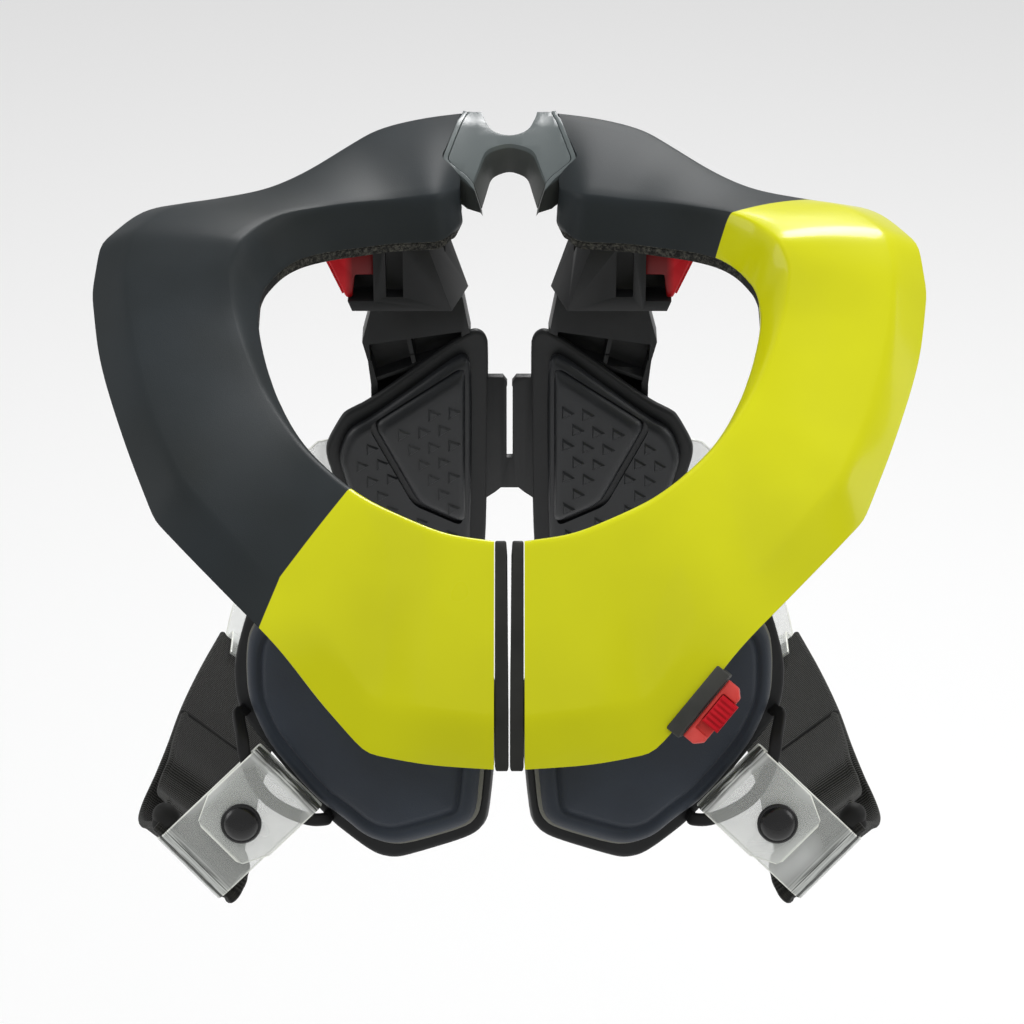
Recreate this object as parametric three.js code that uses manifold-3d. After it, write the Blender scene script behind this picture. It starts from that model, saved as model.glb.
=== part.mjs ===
// Motocross neck brace: a collar in two halves that opens at the front, with chest and back supports
// under it and a strap round each side. Millimetres. +X is the wearer's left, -Y the front, +Z up.
// The origin is the middle of the neck opening, level with where the collar's sides sit on the shoulders.
import * as THREE from 'three';
import Module from 'manifold-3d';

const wasm = await Module();
wasm.setup();

// Collar
const HALF_WIDTH = 147.5;       // middle to the widest point of a side
const HALF_DEPTH = 134;         // neck centre to the front lip and to the rear lip
const COLLAR_RISE = 112;        // height that the collar climbs from the front lip to the rear
const COVER_DEPTH = 14;         // foam cover's wall at the neck edge
const CROWN = 1.2;              // how far the cover's top bulges
const EDGE_ROUND = 3;           // rounding beside the two creases
const LIP_TURN = 6;             // how far the outer lip turns under
const CHASSIS_WALL = 3.5;
const CHASSIS_INSET = 8;        // chassis edge inside the cover's lip
const SEAM_HALF = 0.2;          // half the gap between the two end plates
const SEAM_FLARE = 0.8;         // how far the end plates part at the top
const END_PLATE = 4.6;          // thickness of a front end plate
const GAP = 0.3;                // clearance between touching pieces

// Rear bridge
const BRIDGE_DEPTH = 10.5;
const BRIDGE_HALF = 22.6;       // middle to the point of the bridge's arrow end
const BEZEL_WIDTH = 1.5;

// Chest supports
const CHEST_AT = [5, 28 - HALF_DEPTH, -68];
const CHEST_YAW = 18;
const CHEST_PITCH = 15;
const CHEST_WIDTH = 94.5;
const CHEST_DROP = 55.2;
const CHEST_PLATE = 5;
const CHEST_PAD = 7;

// Side straps
const LOOP_WIDTH = 4.5;
const LOOP_WALL = 2;
const TAB_AT = [91.4, 27.6 - HALF_DEPTH, -107.9];
const TAB_PITCH = 20;
const TAB_TURN = 44;            // the tab runs this far below level, outwards
const TAB_WIDTH = 30;
const TAB_WALL = 1;
const TAB_FOLD = 2;             // radius of the fold round the loop
const TAB_ROLL = 4.2;           // radius of the roll round the elastic
const TAB_TO_FOLD = 21.4;       // snap to fold centre
const TAB_TO_ROLL = 22;         // snap to roll centre
const TAB_TO_END = 11;          // snap to the top layer's end
const SNAP_RADIUS = 7;
const SNAP_RISE = 3.4;
const ELASTIC_WIDTH = 38;
const ELASTIC_WALL = 1.5;
const ELASTIC_RUN = 2 * HALF_DEPTH - 128; // front roll to the elastic's rear end
const ELASTIC_SAG = 14;
const ELASTIC_IN = 14;
const ELASTIC_BOW = 5;
const ELASTIC_LOOP = 10;        // depth of the slack fold behind the roll

// Back supports
const BACK_AT = [7, HALF_DEPTH - 36, 0];
const BACK_YAW = -12;
const BACK_PITCH = -4;
const BACK_WIDTH = 62;
const BACK_TOP = 32.5;          // plate's top below the shoulder level
const BACK_LENGTH = 120;
const BACK_PLATE = 3;
const BACK_PAD = 5;
const BACK_CREST = 3.5;         // raised middle field of the pad
const WEB_TOP = 54;
const WEB_BOTTOM = 110;
const WEB_WALL = 2.6;
const WEB_ARCH = 5;             // rise of the web's lower edge
const WEB_RIM = 4;              // web over its slot
const WEB_SLOT = [2.2, 33];

// Adjusters
const HOUSING_FRONT = HALF_DEPTH - 48;
const HOUSING_DEPTH = 19;
const HOUSING_FOOT = 16.5;      // housing's foot below the shoulder level
const HOUSING_TOP = 24;         // above the tray, which it is cut back to
const HOUSING_SIDE = 50;        // outer face of the housing's body
const HOUSING_INNER = 21.3;     // its inner edge at the foot
const HOUSING_LEAN = 13;        // how far the inner face leans out at the top
const SHELF = 8;                // reach of the shelf under the clip
const WINDOW = [6.3, 19, 6];
const WINDOW_TOP = 8.4;
const CLIP_WALL = 8;
const CLIP_FOOT = 12;
const CLIP_ARM = 2.5;           // underside of the clip's arm below the shoulder level
const CLIP_TRAVEL = 3;
const STRUT_FRONT = HALF_DEPTH - 37;
const STRUT_DEPTH = 11;
const STRUT_MIDDLE = 35.5;
const STRUT_FLOOR = 3;
const RIB = 1.6;
const TONGUE = [23, 4.4, 22];

// Front latch
const LATCH_PLACE = 62;         // the latch sits at the first corner of the lip beyond this
const LATCH_LENGTH = 27;
const LATCH_FRAME = [24, 7, 3.4];
const FRAME_EDGE = 2 + GAP;     // frame's inner side beyond the lip
const FRAME_RAIL = 1.6;         // frame beside the thumb piece
const THUMB = [11, 6.5, 3];
const THUMB_TRAVEL = 3;
const THUMB_RIBS = 6;

const COLOURS = {
  dark: 0x3e4447, yellow: 0xd6da00, black: 0x202122, pad: 0x2f3640, grey: 0x6f7777,
  red: 0xd3101f, lightRed: 0xdd5a55, clear: 0xdfe6e6, elastic: 0x262726,
};

const v3 = (x, y, z) => new THREE.Vector3(x, y, z);
const along = (point, direction, distance) => point.clone().addScaledVector(direction, distance);
const towards = (from, to) => to.clone().sub(from).normalize();
const radians = THREE.MathUtils.degToRad;

// A closed solid from points and triangles, turned so that its faces point out
function solid(points, faces) {
  let volume = 0;
  for (const [a, b, c] of faces) {
    volume += points[a].dot(points[b].clone().cross(points[c]));
  }
  const geometry = new THREE.BufferGeometry();
  const positions = new Float32Array(points.flatMap((p) => [p.x, p.y, p.z]));
  geometry.setAttribute('position', new THREE.BufferAttribute(positions, 3));
  geometry.setIndex(faces.flatMap(([a, b, c]) => (volume < 0 ? [a, c, b] : [a, b, c])));
  return geometry;
}

// Triangles that fill one ring, in the ring's own turning sense
function capFaces(ring) {
  const normal = v3(0, 0, 0);
  ring.forEach((p, i) => normal.add(p.clone().cross(ring[(i + 1) % ring.length])));
  normal.normalize();
  const side = Math.abs(normal.z) < 0.9 ? v3(0, 0, 1) : v3(1, 0, 0);
  const u = side.cross(normal).normalize();
  const w = normal.clone().cross(u);
  const flat = ring.map((p) => new THREE.Vector2(p.dot(u), p.dot(w)));
  const cross = ([a, b, c]) => flat[b].clone().sub(flat[a]).cross(flat[c].clone().sub(flat[a]));
  return THREE.ShapeUtils.triangulateShape(flat, []).map((f) => (cross(f) < 0 ? [f[0], f[2], f[1]] : f));
}

// A solid skinned over rings that have as many points each
function loft(rings) {
  const count = rings[0].length;
  const faces = [];
  for (let r = 0; r + 1 < rings.length; r += 1) {
    for (let j = 0; j < count; j += 1) {
      const k = (j + 1) % count;
      const low = r * count;
      const high = low + count;
      faces.push([low + j, low + k, high + k], [low + j, high + k, high + j]);
    }
  }
  const last = (rings.length - 1) * count;
  capFaces(rings[0]).forEach(([a, b, c]) => faces.push([a, c, b]));
  capFaces(rings.at(-1)).forEach(([a, b, c]) => faces.push([last + a, last + b, last + c]));
  return solid(rings.flat(), faces);
}

// A plan outline between two heights that may follow the place
function prism(outline, top, bottom) {
  return loft([
    outline.map(([x, y]) => v3(x, y, bottom(x, y))),
    outline.map(([x, y]) => v3(x, y, top(x, y))),
  ]);
}

// A front-view outline between two depths
function slabY(outline, front, back) {
  return loft([front, back].map((y) => outline.map(([x, z]) => v3(x, y, z))));
}

function boxSolid([x0, x1], [y0, y1], [z0, z1]) {
  return slabY([[x0, z0], [x1, z0], [x1, z1], [x0, z1]], y0, y1);
}

// An outline moved inwards by a distance, or outwards when it is negative
function inset(outline, distance) {
  const area = outline.reduce((sum, [x, y], i) => {
    const [nx, ny] = outline[(i + 1) % outline.length];
    return sum + x * ny - nx * y;
  }, 0);
  const turn = Math.sign(area);
  return outline.map(([x, y], i) => {
    const before = outline.at(i - 1);
    const after = outline[(i + 1) % outline.length];
    const inA = new THREE.Vector2(before[1] - y, x - before[0]).normalize().multiplyScalar(turn);
    const inB = new THREE.Vector2(y - after[1], after[0] - x).normalize().multiplyScalar(turn);
    const mid = inA.clone().add(inB);
    const reach = distance / Math.max(0.5, mid.lengthSq() / 2);
    return [x + mid.x * reach, y + mid.y * reach];
  });
}

// A plane that faces the wearer or the front: across, up and out from a point
function plane([x, y, z], yaw, pitch) {
  const c = Math.cos(radians(yaw));
  const s = Math.sin(radians(yaw));
  const across = v3(c, s, 0);
  const up = v3(-s * Math.sin(radians(pitch)), c * Math.sin(radians(pitch)), Math.cos(radians(pitch)));
  const out = across.clone().cross(up);
  return (u, v, n) => along(along(along(v3(x, y, z), across, u), up, v), out, n);
}

// Rings of an outline on a plane: each level is an inset and a height above the plane
function cushion(at, outline, levels) {
  return loft(levels.map(([step, n]) => inset(outline, step).map(([u, v]) => at(u, v, n))));
}

// A flat band along points, with its width at each
function ribbon(points, widths, wall) {
  return loft(points.map((p, i) => {
    const tangent = towards(points[Math.max(0, i - 1)], points[Math.min(points.length - 1, i + 1)]);
    const half = widths[i].clone().multiplyScalar(0.5);
    const out = tangent.clone().cross(widths[i]).normalize().multiplyScalar(wall / 2);
    return [[1, 1], [-1, 1], [-1, -1], [1, -1]].map(([a, b]) =>
      p.clone().addScaledVector(half, a).addScaledVector(out, b));
  }));
}

function toManifold(geometry) {
  const vertProperties = new Float32Array(geometry.attributes.position.array);
  const triVerts = new Uint32Array(geometry.index.array);
  return new wasm.Manifold(new wasm.Mesh({ numProp: 3, vertProperties, triVerts }));
}

function fromManifold(manifold) {
  const mesh = manifold.getMesh();
  const geometry = new THREE.BufferGeometry();
  geometry.setAttribute('position', new THREE.BufferAttribute(new Float32Array(mesh.vertProperties), 3));
  geometry.setIndex([...mesh.triVerts]);
  return geometry;
}

function cut(geometry, ...tools) {
  return fromManifold(tools.reduce((body, tool) => body.subtract(toManifold(tool)), toManifold(geometry)));
}

function join(geometry, ...others) {
  return fromManifold(others.reduce((body, other) => body.add(toManifold(other)), toManifold(geometry)));
}

function mirrored(geometry) {
  const copy = geometry.clone();
  copy.scale(-1, 1, 1);
  const index = [...copy.index.array];
  for (let i = 0; i < index.length; i += 3) {
    [index[i], index[i + 1]] = [index[i + 1], index[i]];
  }
  copy.setIndex(index);
  return copy;
}

// The collar's section from the front seam round a side to the rear. Each place is in thousandths of
// HALF_WIDTH, HALF_DEPTH and COLLAR_RISE: the neck edge's foot, the neck crease, the outer crease, the lip.
// A sharp row is a corner that the rows beside it don't round.
const SECTIONS = [
  { neck: [36, -582, -113], crease: [36, -597, -103], ridge: [36, -948, -465], lip: [36, -993, -612] },
  { neck: [145, -560, -102], crease: [149, -575, -91], ridge: [181, -933, -446], lip: [186, -978, -606] },
  { neck: [258, -500, -79], crease: [266, -515, -62], ridge: [313, -881, -460], lip: [326, -940, -598],
    sharp: true },
  { neck: [318, -455, -67], crease: [329, -470, -49], ridge: [376, -821, -351], lip: [430, -881, -456],
    sharp: true },
  { neck: [374, -403, -49], crease: [387, -418, -23], ridge: [435, -754, -262], lip: [519, -821, -322] },
  { neck: [453, -306, -12], crease: [468, -321, 16], ridge: [555, -657, -184], lip: [635, -716, -220] },
  { neck: [504, -209, 17], crease: [526, -224, 60], ridge: [658, -567, -71], lip: [732, -627, -137] },
  { neck: [545, -104, 58], crease: [576, -127, 109], ridge: [755, -463, 6], lip: [814, -522, -91],
    sharp: true },
  { neck: [574, 0, 103], crease: [617, -15, 174], ridge: [835, -239, 92], lip: [898, -284, 24] },
  { neck: [595, 119, 154], crease: [647, 104, 236], ridge: [892, 0, 199], lip: [967, -30, 123] },
  { neck: [596, 209, 184], crease: [660, 209, 312], ridge: [921, 194, 294], lip: [1000, 194, 212],
    sharp: true },
  { neck: [586, 261, 199], crease: [634, 284, 354], ridge: [906, 328, 349], lip: [988, 343, 296],
    sharp: true },
  { neck: [552, 358, 196], crease: [597, 373, 342], ridge: [824, 478, 344], lip: [897, 522, 297] },
  { neck: [506, 433, 192], crease: [540, 448, 337], ridge: [710, 582, 310], lip: [787, 627, 263] },
  { neck: [441, 500, 173], crease: [456, 507, 321], ridge: [595, 642, 309], lip: [643, 687, 252] },
  { neck: [369, 537, 163], crease: [376, 545, 312], ridge: [500, 731, 319], lip: [543, 776, 236] },
  { neck: [284, 575, 154], crease: [289, 582, 296], ridge: [395, 866, 335], lip: [422, 903, 256] },
  { neck: [222, 590, 148], crease: [226, 597, 297], ridge: [326, 925, 357], lip: [340, 963, 287] },
  { neck: [163, 597, 151], crease: [173, 604, 300], ridge: [214, 955, 379], lip: [220, 993, 305] },
  { neck: [115, 672, 165], crease: [125, 687, 266], ridge: [106, 963, 394], lip: [107, 1000, 320] },
];
const COVER_START = SEAM_HALF + END_PLATE + GAP;

// The rows in millimetres, with a rounded row added between two that aren't sharp
function collarRows() {
  const keys = ['neck', 'crease', 'ridge', 'lip'];
  const place = ([x, y, z], i) => v3(
    i === 0 ? COVER_START : (x * HALF_WIDTH) / 1000, (y * HALF_DEPTH) / 1000, (z * COLLAR_RISE) / 1000);
  const curves = Object.fromEntries(keys.map((key) =>
    [key, new THREE.CatmullRomCurve3(SECTIONS.map((row, i) => place(row[key], i)))]));
  const spans = SECTIONS.length - 1;
  const rows = [];
  SECTIONS.forEach((row, i) => {
    rows.push(Object.fromEntries(keys.map((key) => [key, curves[key].points[i]])));
    const next = SECTIONS[i + 1];
    if (next && !row.sharp && !next.sharp) {
      rows.push(Object.fromEntries(keys.map((key) => [key, curves[key].getPoint((i + 0.5) / spans)])));
    }
  });
  return rows.map((row, i) => {
    const mid = (r) => r.crease.clone().add(r.ridge);
    const path = towards(mid(rows[Math.max(0, i - 1)]), mid(rows[Math.min(rows.length - 1, i + 1)]));
    const across = towards(row.crease, row.ridge);
    const up = across.clone().cross(path).normalize();
    const rise = row.crease.clone().sub(row.neck).dot(up);
    const foot = along(row.neck, up, -Math.max(1, COVER_DEPTH - rise));
    const turn = along(along(row.lip, across, -LIP_TURN), up, -1);
    const under = towards(foot, turn);
    return { ...row, across, up, foot, turn, under, edge: along(turn, under, -CHASSIS_INSET) };
  });
}
const ROWS = collarRows();

function coverRing({ neck, crease, ridge, lip, across, up, foot, turn, edge }) {
  const span = crease.distanceTo(ridge);
  const top = (share) => along(along(crease, across, span * share), up, CROWN * 4 * share * (1 - share));
  return [foot, neck, crease.clone().lerp(neck, 0.25), along(crease, across, EDGE_ROUND), top(0.3), top(0.5),
    top(0.7), along(ridge, across, -EDGE_ROUND), ridge.clone().lerp(lip, 0.2), lip, turn, edge];
}

function chassisRing({ up, foot, edge, under }) {
  const low = -GAP - CHASSIS_WALL;
  return [along(edge, up, -GAP), along(foot, up, -GAP), along(foot, up, low),
    along(along(edge, under, -CHASSIS_WALL), up, low)];
}

// The room that the collar takes, which the pieces under it are cut back from
function roomRing({ up, foot, turn, under }) {
  const low = -2 * GAP - CHASSIS_WALL;
  const inner = along(foot, under, -EDGE_ROUND);
  const outer = along(turn, under, LIP_TURN);
  return [along(inner, up, low), along(outer, up, low), along(outer, up, HALF_DEPTH / 2),
    along(inner, up, HALF_DEPTH / 2)];
}

// Rings run on from the first row to the middle plane, over the end plate
const toMiddle = (rings) => [rings[0].map(({ y, z }) => v3(0, y, z)), ...rings];

// The collar's own body, grown by a clearance, for pieces that reach past its lip
function collarGrown() {
  return loft(toMiddle(ROWS.map((row) => {
    const ring = coverRing(row);
    const chassis = chassisRing(row);
    const all = [...ring, chassis[3], chassis[2]];
    const centre = all.reduce((sum, p) => sum.add(p), v3(0, 0, 0)).multiplyScalar(1 / all.length);
    return all.map((p) => along(p, towards(centre, p), 1.6 * GAP));
  })));
}
const collarBody = collarGrown();
const room = join(loft(toMiddle(ROWS.map(roomRing))), collarBody);

// Rear bridge: its surface is the slope of the collar's last row. Each point of the outline is a share of
// BRIDGE_HALF and of the way from the row's neck crease to its lip.
const LAST = ROWS.at(-1);
const REAR_SLOPE = (LAST.ridge.z - LAST.crease.z) / (LAST.ridge.y - LAST.crease.y);
const bridgeTop = (x, y) => LAST.crease.z + (y - LAST.crease.y) * REAR_SLOPE;
const bridgeFloor = (x, y) => bridgeTop(x, y) - BRIDGE_DEPTH;
const BRIDGE_OUTLINE = [
  [0, 0.61], [0.31, 0.675], [0.42, 0.81], [0.465, 0.975], [0.64, 1.01], [0.705, 0.84],
  [1, 0.33], [0.64, 0.1], [0.555, -0.01], [0.41, 0.39], [0.31, 0.445], [0, 0.5],
].map(([x, y]) => [x * BRIDGE_HALF, LAST.crease.y + y * (LAST.lip.y - LAST.crease.y)]);
const BEZEL_SIDE = [4, 5, 6, 7, 8];
const grownSide = (distance) => {
  const grown = inset(BRIDGE_OUTLINE, -distance);
  return BEZEL_SIDE.map((i) => grown[i]);
};

function bridge() {
  const other = BRIDGE_OUTLINE.slice(1, -1).map(([x, y]) => [-x, y]).reverse();
  return prism([...BRIDGE_OUTLINE, ...other], bridgeTop, bridgeFloor);
}

function bezel() {
  const band = [...grownSide(GAP + BEZEL_WIDTH), ...grownSide(GAP).reverse()];
  return prism(band, bridgeTop, bridgeFloor);
}

// What the bridge and its bezel take out of the collar's rear end
function bridgeRoom() {
  const side = grownSide(2 * GAP + BEZEL_WIDTH);
  const outline = [[0, side[0][1] + LIP_TURN], [side[0][0], side[0][1] + LIP_TURN], ...side.slice(0, -1),
    [side.at(-1)[0], side.at(-1)[1] - LIP_TURN], [0, side.at(-1)[1] - LIP_TURN]];
  return prism(outline, (x, y) => bridgeTop(x, y) + COVER_DEPTH, (x, y) => bridgeTop(x, y) - 2 * COVER_DEPTH);
}

// The end plate closes the front of a half: the cover's and the chassis's section in one outline
function endPlate() {
  const first = ROWS[0];
  const cover = coverRing(first);
  const chassis = chassisRing(first);
  const outline = [...cover, chassis[3], chassis[2]];
  const topZ = first.neck.z;
  const midZ = (first.neck.z + first.lip.z) / 2;
  const flare = (z) => SEAM_FLARE * Math.max(0, (z - midZ) / (topZ - midZ));
  return loft([
    outline.map(({ y, z }) => v3(SEAM_HALF + flare(z), y, z)),
    outline.map(({ y, z }) => v3(SEAM_HALF + END_PLATE, y, z)),
  ]);
}

// Chest support: shares of CHEST_WIDTH across and of CHEST_DROP up from the plate's anchor
const chest = plane(CHEST_AT, CHEST_YAW, CHEST_PITCH);
const CHEST_OUTLINE = [
  [0, 0.36], [0, -0.59], [0.02, -0.7], [0.075, -0.78], [0.29, -0.97], [0.34, -1], [0.4, -1], [0.47, -0.95],
  [0.605, -0.82], [0.78, -0.54], [0.96, -0.25], [0.99, -0.09], [1, 0.1], [0.97, 0.38], [0.93, 0.6],
  [0.8, 0.9], [0.55, 0.98], [0.3, 0.7],
].map(([u, v]) => [u * CHEST_WIDTH, v * CHEST_DROP]);

function chestPlate() {
  const body = cushion(chest, CHEST_OUTLINE, [[1, -CHEST_PLATE], [0, 1 - CHEST_PLATE], [0, -1], [1, 0]]);
  return cut(body, room);
}

const PAD_OUTLINE = [
  [0.03, 0.04], [0.03, -0.5], [0.038, -0.6], [0.075, -0.68], [0.29, -0.865], [0.36, -0.885], [0.44, -0.865],
  [0.535, -0.765], [0.64, -0.68], [0.825, -0.39], [0.88, -0.245], [0.925, -0.09], [0.94, 0.15], [0.935, 0.32],
  [0.88, 0.48], [0.72, 0.58], [0.42, 0.5], [0.14, 0.26],
].map(([u, v]) => [u * CHEST_WIDTH, v * CHEST_DROP]);

function chestPad() {
  const groove = 0.8 * CHEST_PAD;
  return cut(cushion(chest, PAD_OUTLINE, [
    [0, GAP], [0, 0.55 * CHEST_PAD], [1.5, groove], [5, 0.9 * CHEST_PAD], [6, groove], [7, groove],
    [8.5, CHEST_PAD]]), room);
}

// Clear front tab: its own plane at the snap, d towards the roll, w across it, n towards the front
const TAB = (() => {
  const out = v3(0, -Math.cos(radians(TAB_PITCH)), Math.sin(radians(TAB_PITCH)));
  const down = v3(0, -Math.sin(radians(TAB_PITCH)), -Math.cos(radians(TAB_PITCH)));
  const run = v3(Math.cos(radians(TAB_TURN)), 0, 0).addScaledVector(down, Math.sin(radians(TAB_TURN)));
  const wide = run.clone().cross(out);
  return { out, run, wide, at: (d, w, n) => along(along(along(v3(...TAB_AT), run, d), wide, w), out, n) };
})();

const ROLL_DEPTH = -TAB_FOLD - TAB_ROLL;

function frontTab() {
  const path = [[TAB_TO_END, TAB_FOLD, 0.6], [TAB_TO_END - 4.5, TAB_FOLD, 1], [-TAB_TO_FOLD, TAB_FOLD, 1]];
  for (let i = 1; i <= 6; i += 1) {
    const angle = Math.PI / 2 + (Math.PI * i) / 6;
    path.push([-TAB_TO_FOLD + TAB_FOLD * Math.cos(angle), TAB_FOLD * Math.sin(angle), 1]);
  }
  const steps = 7;
  for (let i = 0; i <= steps; i += 1) {
    const angle = Math.PI / 2 - (radians(105) * i) / steps;
    path.push([TAB_TO_ROLL + TAB_ROLL * Math.cos(angle), ROLL_DEPTH + TAB_ROLL * Math.sin(angle), 1]);
  }
  return ribbon(path.map(([d, n]) => TAB.at(d, 0, n)),
    path.map(([, , share]) => TAB.wide.clone().multiplyScalar(TAB_WIDTH * share)), TAB_WALL);
}

// Domed snap on the tab's top layer
function snapCap() {
  const seat = TAB_FOLD + TAB_WALL / 2 + GAP;
  const profile = [[0, 0], [0.86, 0], [1, 0.16], [1, 0.34], [0.9, 0.62], [0.68, 0.86], [0.36, 0.97], [0, 1]]
    .map(([r, h]) => [r * SNAP_RADIUS, seat + h * SNAP_RISE]);
  const sides = 20;
  const ring = ([r, n]) => Array.from({ length: sides }, (_, i) => {
    const angle = (2 * Math.PI * i) / sides;
    return TAB.at(r * Math.cos(angle), r * Math.sin(angle), n);
  });
  return loft(profile.slice(1, -1).map(ring));
}

// Band that bows out from the chest plate's rim between the tab's two layers
function padLoop() {
  const foot = ([u, v], n) => chest(u * CHEST_WIDTH, v * CHEST_DROP, n);
  const upper = [0.94, -0.2];
  const lower = [0.59, -0.79];
  const curve = new THREE.CatmullRomCurve3([
    foot(upper, 2), foot(upper, 7), TAB.at(-20.5, -20.5, -1.2), TAB.at(-17, -15.5, 0), TAB.at(-13.5, -8, 0),
    TAB.at(-12, 0, 0), TAB.at(-13.5, 8, 0), TAB.at(-17, 15.5, 0), foot(lower, 5), foot(lower, 2),
  ]);
  const path = [foot(upper, GAP), ...curve.getPoints(20), foot(lower, GAP)];
  const middle = TAB.at(-TAB_TO_FOLD - 5, 0, 0);
  const widths = path.map((p, i) => {
    const tangent = towards(path[Math.max(0, i - 1)], path[Math.min(path.length - 1, i + 1)]);
    const radial = p.clone().sub(middle);
    return radial.addScaledVector(tangent, -radial.dot(tangent)).normalize().multiplyScalar(LOOP_WIDTH);
  });
  return ribbon(path, widths, LOOP_WALL);
}

// Elastic: its hemmed end lies on the run, dips to the roll, wraps it and comes back in a slack fold. Back is
// the share of the run behind the roll, lift the height over the run as a share of the slack fold's depth.
const ELASTIC_PATH = [
  { back: 0.55, lift: 0.3 }, { back: 0.42, lift: 0.3 }, { back: 0.31, lift: 0.32 },
  { back: 0.25, lift: 0.05 }, { back: 0.19, lift: -0.05 }, { back: 0.13, lift: 0.25 },
  { back: 0.075, lift: 0.5 }, { back: 0.03, lift: 0.42 }, { back: 0, lift: 0.26 },
  { back: -0.018, lift: 0 }, { back: 0, lift: -0.26 }, { back: 0.05, lift: -0.55 },
  { back: 0.1, lift: -0.95 }, { back: 0.16, lift: -1.1 }, { back: 0.22, lift: -0.95 },
  { back: 0.3, lift: -0.45 }, { back: 0.42, lift: -0.05 }, { back: 0.6, lift: 0 }, { back: 0.8, lift: 0 },
  { back: 1, lift: 0 },
];
const STRAP_WIDE = v3(-0.78, -0.13, -0.61).normalize();
const strapBase = (share) => TAB.at(TAB_TO_ROLL, 0, ROLL_DEPTH)
  .add(v3(ELASTIC_BOW * Math.sin(Math.PI * Math.min(1, Math.max(0, share))) - ELASTIC_IN * share,
    ELASTIC_RUN * share, -ELASTIC_SAG * share));
const STRAP_LIFT = v3(0, 1, 0).cross(STRAP_WIDE).normalize();

function elasticStrap() {
  const points = ELASTIC_PATH.map(({ back, lift }) =>
    along(strapBase(back), STRAP_LIFT, lift * ELASTIC_LOOP));
  const turn = (back) => TAB.wide.clone().lerp(STRAP_WIDE, Math.min(1, Math.max(0, back / 0.15))).normalize();
  const widths = ELASTIC_PATH.map(({ back }) => turn(back).multiplyScalar(ELASTIC_WIDTH));
  return ribbon(points, widths, ELASTIC_WALL);
}

// Back support: shares of BACK_WIDTH across and of BACK_LENGTH down from the plate's top
const back = plane(BACK_AT, BACK_YAW, BACK_PITCH);
const backPlace = ([u, v]) => [u * BACK_WIDTH, -BACK_TOP - v * BACK_LENGTH];
const BACK_OUTLINE = [
  [0, 0.06], [0, 0.9], [0.06, 0.97], [0.16, 1], [0.46, 1], [0.64, 0.94], [0.84, 0.74], [0.97, 0.48],
  [1, 0.42], [1, 0.37], [0.9, 0.27], [0.86, 0.255], [0.73, 0.225], [0.45, 0.12], [0.26, 0.05], [0.13, 0.005],
  [0.07, 0], [0.02, 0.02],
].map(backPlace);
const BACK_PAD_OUTLINE = [
  [0.11, 0.11], [0.11, 0.9], [0.2, 0.95], [0.44, 0.95], [0.61, 0.89], [0.78, 0.71], [0.91, 0.47],
  [0.935, 0.4], [0.87, 0.31], [0.72, 0.27], [0.45, 0.17], [0.24, 0.09], [0.16, 0.07],
].map(backPlace);
const CREST_OUTLINE = [[0.18, 0.13], [0.16, 0.7], [0.44, 0.59], [0.64, 0.285]].map(backPlace);

function backPlate() {
  return cushion(back, BACK_OUTLINE, [[0.8, -BACK_PLATE], [0, -0.6 * BACK_PLATE], [0, -0.3 * BACK_PLATE],
    [0.8, 0]]);
}

function backPad() {
  const body = cushion(back, BACK_PAD_OUTLINE, [[0, GAP], [0, 0.6 * BACK_PAD], [2.5, BACK_PAD]]);
  const crest = cushion(back, CREST_OUTLINE,
    [[0, 0.5 * BACK_PAD], [0, BACK_PAD], [2.5, BACK_PAD + BACK_CREST]]);
  return join(body, crest);
}

function backWeb() {
  const at = plane([0, BACK_AT[1], 0], 0, BACK_PITCH);
  const reach = (v) => back(0, v, -0.3 * BACK_PLATE).x - GAP;
  const corner = (share, v) => [share * reach(v), v];
  const outline = [corner(-1, -WEB_TOP), corner(1, -WEB_TOP), corner(1, -WEB_BOTTOM),
    corner(0.4, -WEB_BOTTOM + WEB_ARCH), corner(-0.4, -WEB_BOTTOM + WEB_ARCH), corner(-1, -WEB_BOTTOM)];
  const [wide, tall] = WEB_SLOT;
  const top = -WEB_TOP - WEB_RIM;
  const slot = [[-wide / 2, top], [wide / 2, top], [wide / 2, top - tall], [-wide / 2, top - tall]];
  const panel = (shape, low, high) => loft([low, high].map((n) => shape.map(([u, v]) => at(u, v, n))));
  return cut(panel(outline, -WEB_WALL, 0), panel(slot, -2 * WEB_WALL, WEB_WALL));
}

// Clear rear tab: from round the elastic's end to the back plate's rear face
function rearTab() {
  const end = strapBase(1);
  const step = TAB_FOLD + ELASTIC_WALL / 2;
  const seat = back(0.86 * BACK_WIDTH, -BACK_TOP - 0.52 * BACK_LENGTH, -BACK_PLATE - GAP - TAB_WALL / 2);
  const entry = back(1.06 * BACK_WIDTH, -BACK_TOP - 0.52 * BACK_LENGTH, -BACK_PLATE - GAP - TAB_WALL / 2);
  const points = [
    along(along(end, STRAP_LIFT, step), v3(0, -1, 0), 9), along(end, STRAP_LIFT, step),
    along(along(end, STRAP_LIFT, 0.7 * step), v3(0, 1, 0), 4), end.clone().add(v3(0, 6, 0)),
    end.clone().lerp(entry, 0.5).add(v3(2, 0, -2)), entry, seat,
  ];
  const plateDown = towards(back(0, 1, 0), back(0, 0, 0));
  const widths = points.map((p, i) => STRAP_WIDE.clone().lerp(plateDown, Math.min(1, Math.max(0, i - 3) / 2))
    .normalize().multiplyScalar(TAB_WIDTH));
  return ribbon(points, widths, TAB_WALL);
}

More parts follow.
